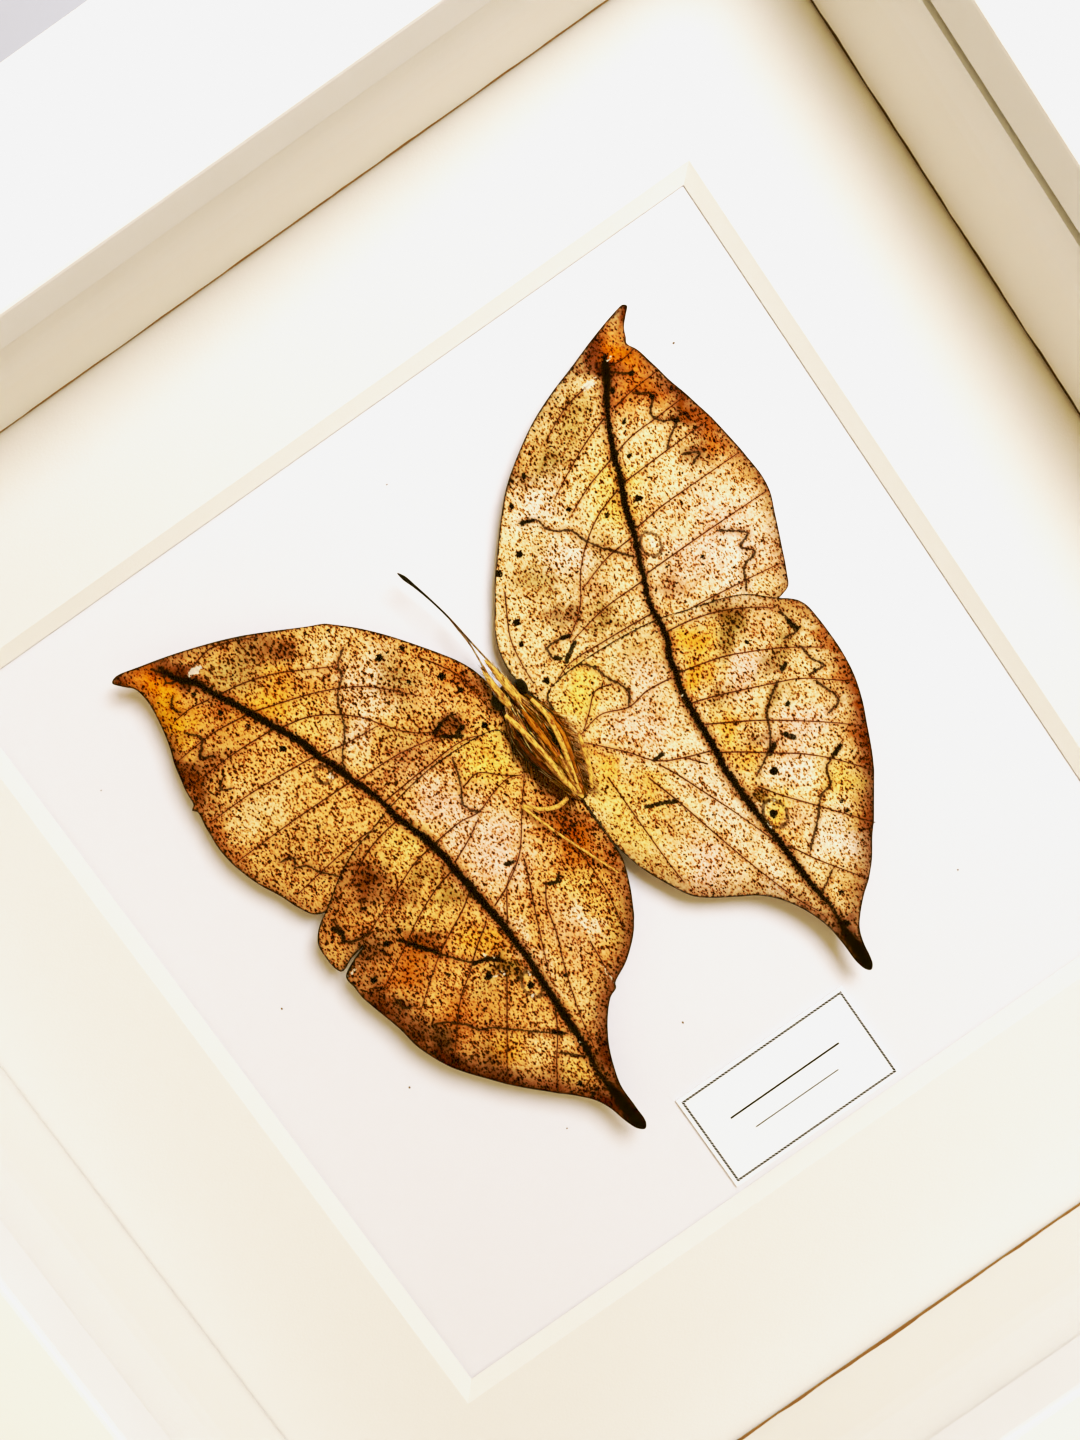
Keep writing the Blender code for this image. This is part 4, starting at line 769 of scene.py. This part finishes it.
def joined(name, pieces):
    bpy.ops.object.select_all(action="DESELECT")
    for piece in pieces:
        piece.select_set(True)
    bpy.context.view_layer.objects.active = pieces[0]
    bpy.ops.object.join()
    bpy.context.object.name = name
    return bpy.context.object


def makeWing(name, wing, side, isHind, material):
    plan = wingPlan
    root = np.array(plan["root"])
    spreadOut = [root + (np.array(point) - root) * plan["spread"] for point in wing["outline"]]
    wing["smoothOutline"] = smoothLine(spreadOut, plan["rimGap"], closed=True)
    wing["smoothVeins"] = [smoothLine(vein, 1.2) for vein in wing["veins"]]
    wing["smoothWaves"] = [smoothLine(wave, 0.8) for wave in wing["waves"]]
    loop = wing["smoothOutline"]
    # a filled ring drawn out to the wing's outline, then cut through in rows and columns
    bpy.ops.mesh.primitive_circle_add(vertices=len(loop), radius=0.03, fill_type="NGON")
    piece = bpy.context.object
    piece.name = name
    for vertex, point in zip(piece.data.vertices, loop):
        vertex.co = Vector((point[0], point[1], 0.0)) * mm
    bpy.ops.object.mode_set(mode="EDIT")
    for axis in (0, 1):
        values = [point[axis] for point in loop]
        for step in range(math.ceil(min(values) / plan["cell"]), math.ceil(max(values) / plan["cell"])):
            bpy.ops.mesh.select_all(action="SELECT")
            normal = (1, 0, 0) if axis == 0 else (0, 1, 0)
            bpy.ops.mesh.bisect(plane_co=[step * plan["cell"] * mm * n for n in normal], plane_no=normal)
    bpy.ops.mesh.select_all(action="SELECT")
    bpy.ops.mesh.remove_doubles(threshold=0.00002)
    bpy.ops.mesh.normals_make_consistent(inside=False)
    bpy.ops.object.mode_set(mode="OBJECT")
    spots = np.array([vertex.co[:2] for vertex in piece.data.vertices]) * 1000
    for vertex, height in zip(piece.data.vertices, wingSurface(spots, wing, side, isHind)):
        vertex.co.z = height * mm
    if piece.data.polygons[0].normal.z < 0:
        piece.data.flip_normals()
    wall = piece.modifiers.new("thickness", "SOLIDIFY")
    wall.thickness = plan["thickness"] * mm
    wall.offset = -1
    bpy.ops.object.modifier_apply(modifier="thickness")
    # veins: fine tubes half sunk in the membrane, thinner towards the margin
    lines = []
    for flat in [np.array(smoothLine(vein, 0.6)) for vein in wing["veins"]]:
        heights = wingSurface(flat, wing, side, isHind) - 0.02
        radii = plan["veinRadius"] * (1.15 - 0.45 * np.arange(len(flat)) / len(flat))
        lines.append(np.column_stack([flat, heights, radii]))
    veins = makeTubes(name + "Veins", lines, 1)
    veinCount = len(veins.data.vertices)
    piece = joined(name, [piece, veins])
    paintWing(piece, wing, side, isHind, veinCount)
    bpy.ops.object.shade_smooth_by_angle(angle=math.radians(50))
    piece.data.materials.clear()
    piece.data.materials.append(material)
    return piece


wingFinish = {
    "dashes": {"shortDash": 0.34, "longDash": 0.62}, "dashStretch": 0.62,
    "speck": 1.05, "specksLeftOut": 0.42,
    # how the dashes crowd: at random, with the patch's darkness, and how far their edges fray and wander
    "crowding": (-0.05, 0.07), "darkCrowding": 0.26, "dashFray": 0.5, "dashWander": (0.42, 0.42, 0.0),
    # wavy lines: how far they wander, and how near their own line they stop
    "waveWander": 0.8, "waveEnd": 0.35,
    # grain of each noise and how finely it breaks up
    "noises": {"rag": (0.45, 3.0), "cloud": (3.2, 4.0), "grain": (0.3, 4.0), "sway": (0.35, 2.0)},
    "rag": 0.2, "lift": 0.6,
    # stains under the dashes: their noise, from where to where, how much, the tone
    "washes": [("cloud", 0.4, 0.7, 0.38, "#D8AC7C"), ("grain", 0.42, 0.62, 0.42, "#D09860")],
}

# What is drawn on the scales, each from its own distance in millimetres: how far its edge frays, where it is
# full, where it ends, how much, its tone, and whether that covers or stains
wingMarks = [
    ("shortDash", 0.0, 0.27, 0.46, 0.85, "#DCA868", "MULTIPLY"),
    ("shortDash", 0.0, 0.19, 0.31, 0.95, "#381806", "MULTIPLY"),
    ("longDash", 0.0, 0.22, 0.41, 0.85, "#DCA868", "MULTIPLY"),
    ("longDash", 0.0, 0.14, 0.25, 0.95, "#381806", "MULTIPLY"),
    ("speck", 0.0, 0.13, 0.21, 1.0, "#0A0301", "MIX"),
    ("wave", 0.0, 0.1, 1.2, 0.45, "#9A6430", "MULTIPLY"), ("thread", 0.0, 0.1, 0.28, 0.9, "#281004", "MIX"),
    ("ring", 1.0, 0.14, 0.36, 0.8, "#3A2008", "MIX"), ("thick", 1.0, 0.25, 0.5, 0.97, "#0A0301", "MIX"),
    ("vein", 1.0, -0.1, 0.9, 0.92, "#3C1404", "MIX"), ("dots", 1.2, 0.0, 0.18, 1.0, "#080301", "MIX"),
    ("rib", 0.0, 0.0, 1.3, 0.6, "#A0602A", "MULTIPLY"), ("rib", 1.9, -0.08, 0.14, 1.0, "#1C0A02", "MIX"),
    ("rib", -0.8, -0.4, 0.0, 0.9, "#030100", "MIX"), ("flecks", 1.3, -0.1, 0.05, 0.6, "#FFF3DA", "MIX"),
    ("rim", 2.6, -0.3, 0.55, 0.75, "#4A1C08", "MULTIPLY"), ("rim", 0.7, 0.08, 0.36, 0.9, "#180802", "MIX"),
]


def wingScales(plan):
    # dry butterfly scales: dusty and matt, flecked with short dark dashes across the veins
    material, tree, shader = newMaterial("dryWingScales", 0.8, {
        "Specular IOR Level": 0.15, "Sheen Weight": 0.03, "Sheen Roughness": 0.5})
    place = millimetres(tree)
    dashPlace = millimetres(tree, (1, plan["dashStretch"], 1))
    noise = {}
    for name, (size, detail) in plan["noises"].items():
        noise[name] = addNode(tree, "TexNoise", {
            "Vector": dashPlace if name == "grain" else place, "Scale": 1 / size, "Detail": detail,
            "Roughness": 0.65})
    away = {}
    for name in ("pepper", "rim", "rib", "wave", "waveSide", "thick", "ring", "dots", "flecks", "vein"):
        away[name] = addNode(tree, "Attribute", attribute_name=name).outputs["Fac"]
    body = addNode(tree, "Attribute", attribute_name="tone").outputs["Color"]
    smooth = "SMOOTHSTEP"
    ragged = addNode(tree, "MapRange", {
        "Value": noise["rag"], "From Min": 0.25, "From Max": 0.75,
        "To Min": -plan["rag"], "To Max": plan["rag"]}, interpolation_type=smooth)
    for name, low, high, amount, tone in plan["washes"]:
        cover = addNode(tree, "MapRange", {
            "Value": noise[name], "From Min": low, "From Max": high,
            "To Max": amount}, interpolation_type=smooth)
        body = addNode(tree, "MixRGB", {"Fac": cover, "Color1": body, "Color2": tone}, blend_type="MULTIPLY")
    # dashes: stretched cells with wavering edges, crowded where the wing is dark
    crowd = addNode(tree, "MapRange", {
        "Value": noise["cloud"], "From Min": 0.3, "From Max": 0.7,
        "To Min": plan["crowding"][0], "To Max": plan["crowding"][1]})
    for crowder, amount in ((away["pepper"], plan["darkCrowding"]), (ragged, plan["dashFray"])):
        crowd = addNode(tree, "Math", {0: crowder, 1: amount, 2: crowd}, operation="MULTIPLY_ADD")
    waver = addNode(tree, "VectorMath", {
        0: noise["sway"].outputs["Color"], 1: plan["dashWander"], 2: dashPlace}, operation="MULTIPLY_ADD")
    for name, size in plan["dashes"].items():
        cell = addNode(tree, "TexVoronoi", {"Vector": waver, "Scale": 1 / size})
        away[name] = addNode(tree, "Math", {0: cell.outputs["Distance"], 1: crowd}, operation="SUBTRACT")
    # scattered near-black specks, some of their cells left empty
    drop = addNode(tree, "TexVoronoi", {"Vector": place, "Scale": 1 / plan["speck"]})
    empty = addNode(tree, "Math", {0: drop.outputs["Color"], 1: plan["specksLeftOut"]}, operation="LESS_THAN")
    away["speck"] = addNode(tree, "Math", {0: drop.outputs["Distance"], 1: empty}, operation="ADD")
    # wavy lines: thin along their signed distance, and stopped at their ends by the plain one
    thread = addNode(tree, "Math", {
        0: ragged, 1: plan["waveWander"], 2: away["waveSide"]}, operation="MULTIPLY_ADD")
    thread = addNode(tree, "Math", {0: thread}, operation="ABSOLUTE")
    ended = addNode(tree, "Math", {0: away["wave"], 1: plan["waveEnd"]}, operation="SUBTRACT")
    away["thread"] = addNode(tree, "Math", {0: thread, 1: ended}, operation="MAXIMUM")
    for name, fray, full, end, amount, tone, kind in wingMarks:
        frayed = addNode(tree, "Math", {0: ragged, 1: fray, 2: away[name]}, operation="MULTIPLY_ADD")
        cover = addNode(tree, "MapRange", {
            "Value": frayed, "From Min": full, "From Max": end,
            "To Min": amount, "To Max": 0.0}, interpolation_type=smooth)
        body = addNode(tree, "MixRGB", {"Fac": cover, "Color1": body, "Color2": tone}, blend_type=kind)
    bump = addNode(tree, "Bump", {"Height": noise["grain"], "Strength": plan["lift"], "Distance": 0.0001})
    plug(tree, shader, {"Base Color": body, "Normal": bump})
    return material


wingSkin = wingScales(wingFinish)
for side, fore, hind in (("left", forewingLeft, hindwingLeft), ("right", forewingRight, hindwingRight)):
    for kind, wing in (("forewing", fore), ("hindwing", hind)):
        name = kind + side.title()
        piece = makeWing(name, wing, side, kind == "hindwing", wingSkin)
        keep(piece, "wing_" + side, kind + "_" + side)
        print(name, "has", len(piece.data.polygons), "faces")

# The insect's body, seen from below: a furred trunk with folded legs, feelers and palps
bodyPlan = {
    # y, x, half width, bottom and top of each section, millimetres
    "sections": [
        (24.6, 0.0, 0.5, 13.2, 14.2), (24.0, 0.0, 1.3, 12.5, 14.9), (22.6, 0.0, 1.8, 11.9, 15.4),
        (21.0, 0.0, 1.8, 11.9, 15.3), (19.2, 0.0, 3.1, 11.2, 16.2), (16.2, 0.0, 4.2, 10.9, 16.9),
        (12.6, 0.0, 4.0, 10.9, 16.9), (9.6, 0.0, 2.9, 11.2, 16.3), (6.6, 0.0, 2.0, 11.6, 15.6),
        (4.0, 0.1, 1.4, 12.1, 15.1), (2.4, 0.2, 0.7, 12.8, 14.4)],
    "sides": 28, "rowGap": 0.5, "lump": 0.28,
    "eyes": [(-2.3, 22.7, 13.9), (2.1, 22.8, 13.9)], "eyeRadius": 1.25,
    "palps": [
        [(-0.9, 20.4, 15, 0.5), (-1.2, 23.2, 15.3, 0.62), (-1.3, 26.2, 15.2, 0.5), (-1.2, 28.9, 15, 0.12)],
        [(0.7, 20.4, 15, 0.55), (0.6, 23.2, 15.4, 0.7), (0.3, 26.4, 15.3, 0.55), (-0.1, 29.6, 15, 0.12)]],
    "straw": "#EDBE6C", "gold": "#C07E24", "rust": "#6E3208", "dark": "#140802", "pale": "#FBE2AE",
    "plates": [
        [(-1.5, 11.0, 16.6, 0.2), (-1.0, 8.6, 16.2, 0.5), (-0.5, 5.6, 15.5, 0.42), (0.0, 2.7, 14.8, 0.1)],
        [(1.0, 10.6, 16.7, 0.2), (0.7, 8.0, 16.2, 0.42), (0.4, 5.0, 15.4, 0.36), (0.2, 2.7, 14.8, 0.1)],
        [(0.2, 19.8, 16.6, 0.2), (0.3, 17.4, 17.2, 0.5), (0.5, 14.0, 17.4, 0.44), (0.5, 10.6, 17.0, 0.16)],
        [(-3.1, 17.4, 16.2, 0.15), (-2.9, 14.0, 16.6, 0.34), (-2.3, 10.6, 16.2, 0.3), (-1.5, 7.4, 15.6, 0.1)],
        [(3.4, 17.0, 15.9, 0.15), (3.3, 13.6, 16.2, 0.36), (2.6, 10.0, 16.0, 0.34), (1.6, 6.6, 15.5, 0.1)]],
    "plateTones": ["straw", "straw", "gold", "rust", "gold"],
    "strands": 1300, "strandHalf": 0.07, "rootHairs": 320,
}

limbPlan = {
    "antenna_left": [(-1.2, 24.9, 14, 0.16), (-0.9, 29, 13.9, 0.15), (-0.6, 33, 14.2, 0.14),
        (-0.8, 36.5, 14.3, 0.13), (-1, 39, 14.3, 0.08)],
    "antenna_right": [(0.9, 24.9, 14, 0.17), (0.3, 29, 14.2, 0.16), (-0.3, 33.6, 14.9, 0.16),
        (-0.9, 38.4, 15.2, 0.16), (-1.6, 42, 15.4, 0.17), (-2.4, 45.2, 15.5, 0.24), (-3, 47.2, 15.5, 0.34),
        (-3.4, 48.4, 15.4, 0.1)],
    "leg_left": [(-1.9, 4.2, 15.8, 0.36), (-4, 4, 15.7, 0.4), (-6.5, 5.2, 15.4, 0.34), (-8.5, 7.1, 15, 0.3),
        (-8.2, 5.6, 14.9, 0.24), (-7.4, 3, 14.8, 0.2), (-5.6, -2, 14.8, 0.18), (-3.6, -7, 14.9, 0.16),
        (-2.2, -10.5, 15, 0.1)],
    "leg_right": [(2.2, 3.4, 15.8, 0.25), (3.4, 5.6, 15.9, 0.38), (4.6, 9, 16.1, 0.42),
        (5.4, 11.8, 16, 0.16)],
    "folded_leg_left": [(-2.4, 20.6, 16.7, 0.3), (-1.9, 18.6, 17.3, 0.45), (-1.2, 14.6, 17.8, 0.4),
        (-0.8, 10.6, 17.3, 0.4), (-0.9, 7.4, 16.5, 0.18)],
    "folded_leg_right": [(2.4, 20.4, 16.8, 0.3), (2.9, 17, 17.3, 0.4), (2.4, 12.6, 17.6, 0.4),
        (1.4, 8.4, 16.9, 0.36), (0.7, 5.2, 16, 0.18)],
}


def trunkAt(y):
    rows = bodyPlan["sections"][::-1]
    return [float(np.interp(y, [row[0] for row in rows], [row[i] for row in rows])) for i in range(1, 5)]


def trunkPoint(turn, y, lift=0.0):
    # a point on the trunk's skin; turn 0 is its right side and a quarter turn is its top
    x, half, low, top = trunkAt(y)
    middle, tall = (low + top) / 2, (top - low) / 2
    return Vector((x + (half + lift) * math.cos(turn), y, middle + (tall + lift) * math.sin(turn)))


def paint(piece, hexText):
    writeAttribute(piece.data, "tone", [colour(hexText)] * len(piece.data.vertices))
    return piece


def makeStrands(name, strands):
    # hairs and hair-like scales: three-sided tapering strands, each with its own tone
    points, faces, shades = [], [], []
    steps = 4
    for start, middle, end, half, tone in strands:
        run = (end - start).normalized()
        side = run.cross(Vector((0, 0, 1))).normalized()
        rise = side.cross(run)
        base = len(points)
        for step in range(steps):
            t = step / (steps - 1)
            centre = start * (1 - t) ** 2 + middle * 2 * t * (1 - t) + end * t * t
            width = half * (1 - 0.85 * t ** 1.5)
            for turn in (0.0, 2.0944, 4.18879):
                points.append((centre + side * width * math.cos(turn) + rise * width * math.sin(turn)) * mm)
                shades.append(tone)
        for step in range(steps - 1):
            for corner in range(3):
                after = (corner + 1) % 3
                low = base + step * 3
                faces.append((low + corner, low + after, low + 3 + after, low + 3 + corner))
        faces.append((base + 2, base + 1, base))
        faces.append(tuple(base + (steps - 1) * 3 + corner for corner in range(3)))
    mesh = bpy.data.meshes.new(name)
    mesh.from_pydata(points, [], faces)
    writeAttribute(mesh, "tone", shades)
    piece = bpy.data.objects.new(name, mesh)
    bpy.context.scene.collection.objects.link(piece)
    return piece


def cuticle():
    # dried horny skin and flattened hairs: dull gold, a little waxy, with dark in the creases
    material, tree, shader = newMaterial("driedCuticle", 0.55, {"Specular IOR Level": 0.3})
    place = millimetres(tree)
    tone = addNode(tree, "Attribute", attribute_name="tone").outputs["Color"]
    long = addNode(tree, "Mapping", {"Vector": place, "Scale": (3.2, 0.8, 3.2)})
    streak = addNode(tree, "TexNoise", {"Vector": long, "Scale": 1.0, "Detail": 4.0, "Roughness": 0.7})
    shade = addNode(tree, "MapRange", {"Value": streak, "From Min": 0.45, "From Max": 0.62})
    worn = addNode(tree, "MixRGB", {
        "Fac": shade, "Color1": tone, "Color2": "#8A5420"}, blend_type="MULTIPLY")
    bump = addNode(tree, "Bump", {"Height": streak, "Strength": 0.5, "Distance": 0.0001})
    plug(tree, shader, {"Base Color": worn, "Normal": bump})
    return material


def eyeShell():
    # compound eyes: hard, black and shiny, with a fine pitted grain
    material, tree, shader = newMaterial("blackEyeShell", 0.35, {
        "Base Color": "#030101", "Specular IOR Level": 0.25})
    place = millimetres(tree)
    facet = addNode(tree, "TexVoronoi", {"Vector": place, "Scale": 14.0})
    bump = addNode(tree, "Bump", {"Height": facet, "Strength": 0.3, "Distance": 0.00003})
    plug(tree, shader, {"Normal": bump})
    return material


def makeBody(plan, skin, shell):
    head, tail = plan["sections"][0][0], plan["sections"][-1][0]
    rows = int((head - tail) / plan["rowGap"])
    bpy.ops.mesh.primitive_grid_add(x_subdivisions=plan["sides"], y_subdivisions=rows, size=0.02)
    trunk = bpy.context.object
    across = plan["sides"] + 1
    for number, vertex in enumerate(trunk.data.vertices):
        turn = (number % across) / plan["sides"] * math.tau
        y = tail + (number // across) / rows * (head - tail)
        lump = math.sin(turn * 4 + 0.6 * math.sin(y)) * math.sin(y * 0.8)
        lump = lump * math.sin((y - tail) / (head - tail) * math.pi)
        vertex.co = trunkPoint(turn, y, plan["lump"] * lump) * mm
    bpy.ops.object.mode_set(mode="EDIT")
    bpy.ops.mesh.select_all(action="SELECT")
    bpy.ops.mesh.remove_doubles(threshold=0.00001)
    bpy.ops.mesh.fill_holes(sides=0)
    bpy.ops.mesh.normals_make_consistent(inside=False)
    bpy.ops.object.mode_set(mode="OBJECT")
    parts = [paint(trunk, plan["dark"])]
    tubeTones = ["straw"] * len(plan["palps"]) + plan["plateTones"]
    for line, tone in zip(plan["palps"] + plan["plates"], tubeTones):
        parts.append(paint(makeTubes("tube", [smoothLine(line, 0.5)]), plan[tone]))
    parts.append(makeStrands("fur", trunkStrands(plan)))
    for part in parts:
        part.data.materials.clear()
        part.data.materials.append(skin)
    for place in plan["eyes"]:
        bpy.ops.mesh.primitive_uv_sphere_add(
            segments=24, ring_count=16, radius=plan["eyeRadius"] * mm, location=Vector(place) * mm)
        eye = bpy.context.object
        bpy.ops.transform.resize(value=(0.85, 1.15, 1.0))
        bpy.ops.object.transform_apply(location=True, rotation=True, scale=True)
        paint(eye, plan["dark"])
        eye.data.materials.append(shell)
        parts.append(eye)
    body = joined("specimenBody", parts)
    bpy.ops.object.transform_apply(location=True, rotation=True, scale=True)
    bpy.ops.object.shade_smooth_by_angle(angle=math.radians(60))
    return body


def trunkStrands(plan):
    strands = []
    shadeOf = {name: colour(plan[name]) for name in ("straw", "gold", "rust", "dark", "pale")}
    for number in range(plan["strands"]):
        turn = dice.uniform(-0.35, math.pi + 0.35)
        y = dice.uniform(4.5, 22.5)
        length = dice.uniform(2.0, 6.5) * (0.6 if y < 9 else 1.0)
        lift = dice.uniform(0.02, 0.3)
        start = trunkPoint(turn, y, 0.0)
        inward = (math.pi / 2 - turn) * 0.12
        end = trunkPoint(turn + inward + dice.uniform(-0.15, 0.15), max(y - length, 2.6), lift)
        bend = turn + inward / 2 + dice.uniform(-0.1, 0.1)
        middle = trunkPoint(bend, y - length / 2, lift + dice.uniform(0.05, 0.25))
        across = start.x + dice.uniform(-0.5, 0.5)
        # the left flank's strands are mostly dark: partly the fur's own tones, partly painted shade on the
        # flank away from the lamp
        if across < -2.6:
            tone = dice.choices(["dark", "rust", "gold", "pale"], [6, 3, 1.2, 0.8])[0]
        elif across > 2.9:
            tone = dice.choices(["dark", "rust", "gold", "straw"], [2, 4, 3, 1])[0]
        else:
            tone = dice.choices(["dark", "rust", "gold", "straw", "pale"], [1.6, 2.4, 4, 3, 1.2])[0]
        half = plan["strandHalf"] * dice.choice((0.6, 0.8, 1.0, 1.6, 2.4))
        shade = [c * dice.uniform(0.75, 1.15) for c in shadeOf[tone][:3]] + [1.0]
        strands.append((start, middle, end, half, shade))
    # bristles along the palps and the tuft before the eyes
    for line in plan["palps"]:
        for number in range(110):
            t = dice.uniform(0, 2.9)
            a, b = line[int(t)], line[min(int(t) + 1, 3)]
            spot = [a[i] + (b[i] - a[i]) * (t - int(t)) for i in range(4)]
            turn = dice.uniform(0, math.tau)
            start = Vector((spot[0] + spot[3] * math.cos(turn), spot[1], spot[2] + spot[3] * math.sin(turn)))
            end = start + Vector((0.35 * math.cos(turn), dice.uniform(0.7, 1.6), 0.3 * math.sin(turn)))
            end.y = min(end.y, 29.9)
            tone = dice.choices(["dark", "rust", "gold", "pale"], [3, 2, 2, 2])[0]
            strands.append((start, (start + end) / 2 + Vector((0, 0, 0.06)), end, 0.04, shadeOf[tone]))
    # long soft hairs over the wing roots
    for number in range(plan["rootHairs"]):
        side = dice.choice((-1, 1))
        y = dice.uniform(3.5, 21.5)
        start = trunkPoint(math.pi / 2 - side * 1.25, y, 0.0)
        reachOut = dice.uniform(0.3, 2.0)
        end = Vector((start.x + side * reachOut, y - dice.uniform(2.0, 4.4), 13.6 + reachOut * 0.06))
        middle = (start + end) / 2 + Vector((side * 0.3, 0.3, dice.uniform(0.1, 0.4)))
        # darker on the left: the hairs' own tones plus painted shade on the flank away from the lamp
        flankShadeWeights = [4, 4, 1, 0] if side < 0 else [1, 3, 5, 2]
        tone = dice.choices(["dark", "rust", "gold", "straw"], flankShadeWeights)[0]
        strands.append((start, middle, end, 0.06, shadeOf[tone]))
    return strands


def limbShade(name, y):
    # feelers darken to a black club; legs are straw, browner towards their joints
    if name == "antenna_right":
        return colour("#120805" if y > 38 else "#6E5038" if y > 33 else "#B49A78")
    if name == "antenna_left":
        return colour("#C8AE88")
    return colour(bodyPlan["straw"])


def makeLimb(name, line, skin):
    tube = makeTubes("tube", [smoothLine(line, 0.5)], 3)
    mesh = tube.data
    ringed = "antenna" in name
    shades = []
    for vertex in mesh.vertices:
        y = vertex.co.y * 1000
        shade = limbShade(name, y)
        if ringed and math.sin(y * 9.0) > 0.3:
            shade = [c * 0.55 for c in shade[:3]] + [1.0]
        shades.append(shade)
    writeAttribute(mesh, "tone", shades)
    parts = [tube]
    if not ringed:
        # short dark spines down each leg
        spines = []
        path = [Vector(point[:3]) for point in smoothLine(line, 0.35)]
        for a, b in zip(path, path[1:]):
            run = (b - a).normalized()
            side = run.cross(Vector((0, 0, 1))).normalized()
            for hand in (-1, 1):
                start = a + side * hand * 0.22
                end = start + side * hand * dice.uniform(0.15, 0.4) + run * dice.uniform(0.3, 0.6)
                tone = colour(dice.choice(("#2A1408", "#7A4A1C", "#E0B878")))
                spines.append((start, (start + end) / 2, end, 0.03, tone))
        parts.append(makeStrands("spines", spines))
    for part in parts:
        part.data.materials.clear()
        part.data.materials.append(skin)
    limb = joined(name.replace("_", " ").title().replace(" ", ""), parts)
    bpy.ops.object.shade_smooth_by_angle(angle=math.radians(60))
    return limb


skin = cuticle()
keep(makeBody(bodyPlan, skin, eyeShell()), "body", "body")
for nodeName, line in limbPlan.items():
    keep(makeLimb(nodeName, line, skin), "limb", nodeName)
print("body and limbs are on")


# Label: a paper slip with its printed border of fine dashes, and plain ruled lines inside
labelPlan = {
    "paper": "#FFFFFF", "ink": "#0A0608", "dash": 0.6,
    # middle, half sides, and the level and half width of the inked band across the box's edge
    "border": (0.3, -57.7, 16.0, 8.2, 0.0, 0.2),
    "rules": [(0.3, -56.4, 11.0, 0.16, -5.0, 5.0), (0.3, -60.1, 8.4, 0.1, -5.0, 5.0)],
}


def labelPaper(plan):
    # smooth card stock, laser-printed: flat matt ink that sits in the paper
    material, tree, shader = newMaterial("printedLabelPaper", 0.8, {"Specular IOR Level": 0.3})
    place = millimetres(tree)
    # the border breaks into fine dashes along its run
    spot = addNode(tree, "SeparateXYZ", {"Vector": place})
    along = addNode(tree, "Math", {0: spot.outputs["X"], 1: spot.outputs["Y"]}, operation="ADD")
    beat = addNode(tree, "Math", {0: along, 1: plan["dash"] / 2}, operation="PINGPONG")
    dash = addNode(tree, "Math", {0: beat, 1: plan["dash"] * 0.4}, operation="LESS_THAN")
    ink = 0.0
    for x, y, halfWide, halfTall, level, band in [plan["border"]] + plan["rules"]:
        offset = addNode(tree, "VectorMath", {0: place, 1: (x, y, 0)}, operation="SUBTRACT")
        offset = addNode(tree, "VectorMath", {0: offset}, operation="ABSOLUTE")
        offset = addNode(tree, "VectorMath", {0: offset, 1: (halfWide, halfTall, 0)}, operation="SUBTRACT")
        side = addNode(tree, "SeparateXYZ", {"Vector": offset})
        edge = addNode(tree, "Math", {0: side.outputs["X"], 1: side.outputs["Y"]}, operation="MAXIMUM")
        line = addNode(tree, "Math", {0: edge, 1: level, 2: band}, operation="COMPARE")
        if level == 0:
            line = addNode(tree, "Math", {0: line, 1: dash}, operation="MULTIPLY")
        ink = addNode(tree, "Math", {0: line, 1: ink}, operation="MAXIMUM")
    fibre = addNode(tree, "TexNoise", {"Vector": place, "Scale": 4.0, "Detail": 3.0})
    tone = addNode(tree, "MixRGB", {"Fac": ink, "Color1": plan["paper"], "Color2": plan["ink"]})
    bump = addNode(tree, "Bump", {"Height": fibre, "Strength": 0.1, "Distance": 0.00003})
    plug(tree, shader, {"Base Color": tone, "Normal": bump})
    return material


dress(["label"], labelPaper(labelPlan))
# a dab of clear glue, set hard: amber and glossy
dress(["glue_dab"], cloudedFinish("hardenedGlue", 0.12, {"Coat Weight": 0.5}))

# Dust: a few specks that lie on the card and the mat, x, y, z and size in millimetres
dustSpots = [
    (53.8, 53.6, 9.8, 0.2), (-51.2, -21.0, 9.8, 0.18), (3.2, 61.5, 9.8, 0.16), (-60.5, 2.0, 9.8, 0.16),
    (-34.0, -42.0, 9.8, 0.14), (-8.0, -38.5, 9.8, 0.16), (44.0, -44.0, 9.8, 0.14), (-63.0, 48.0, 9.8, 0.12),
]


def makeDust(spots):
    specks = []
    for x, y, z, size in spots:
        bpy.ops.mesh.primitive_ico_sphere_add(
            subdivisions=2, radius=size * mm, location=(x * mm, y * mm, (z + size * 0.45) * mm))
        speck = bpy.context.object
        bpy.ops.transform.resize(value=(1.0, dice.uniform(0.6, 1.5), 0.45))
        specks.append(speck)
    dust = joined("dustSpecks", specks)
    bpy.ops.object.transform_apply(location=True, rotation=True, scale=True)
    # house dust: grey-brown lint, quite matt
    dust.data.materials.append(cloudedFinish("dryDust", 0.95, {"Specular IOR Level": 0.1}))
    return dust


keep(makeDust(dustSpots), "backing_card")
print("label, glue and dust are done")
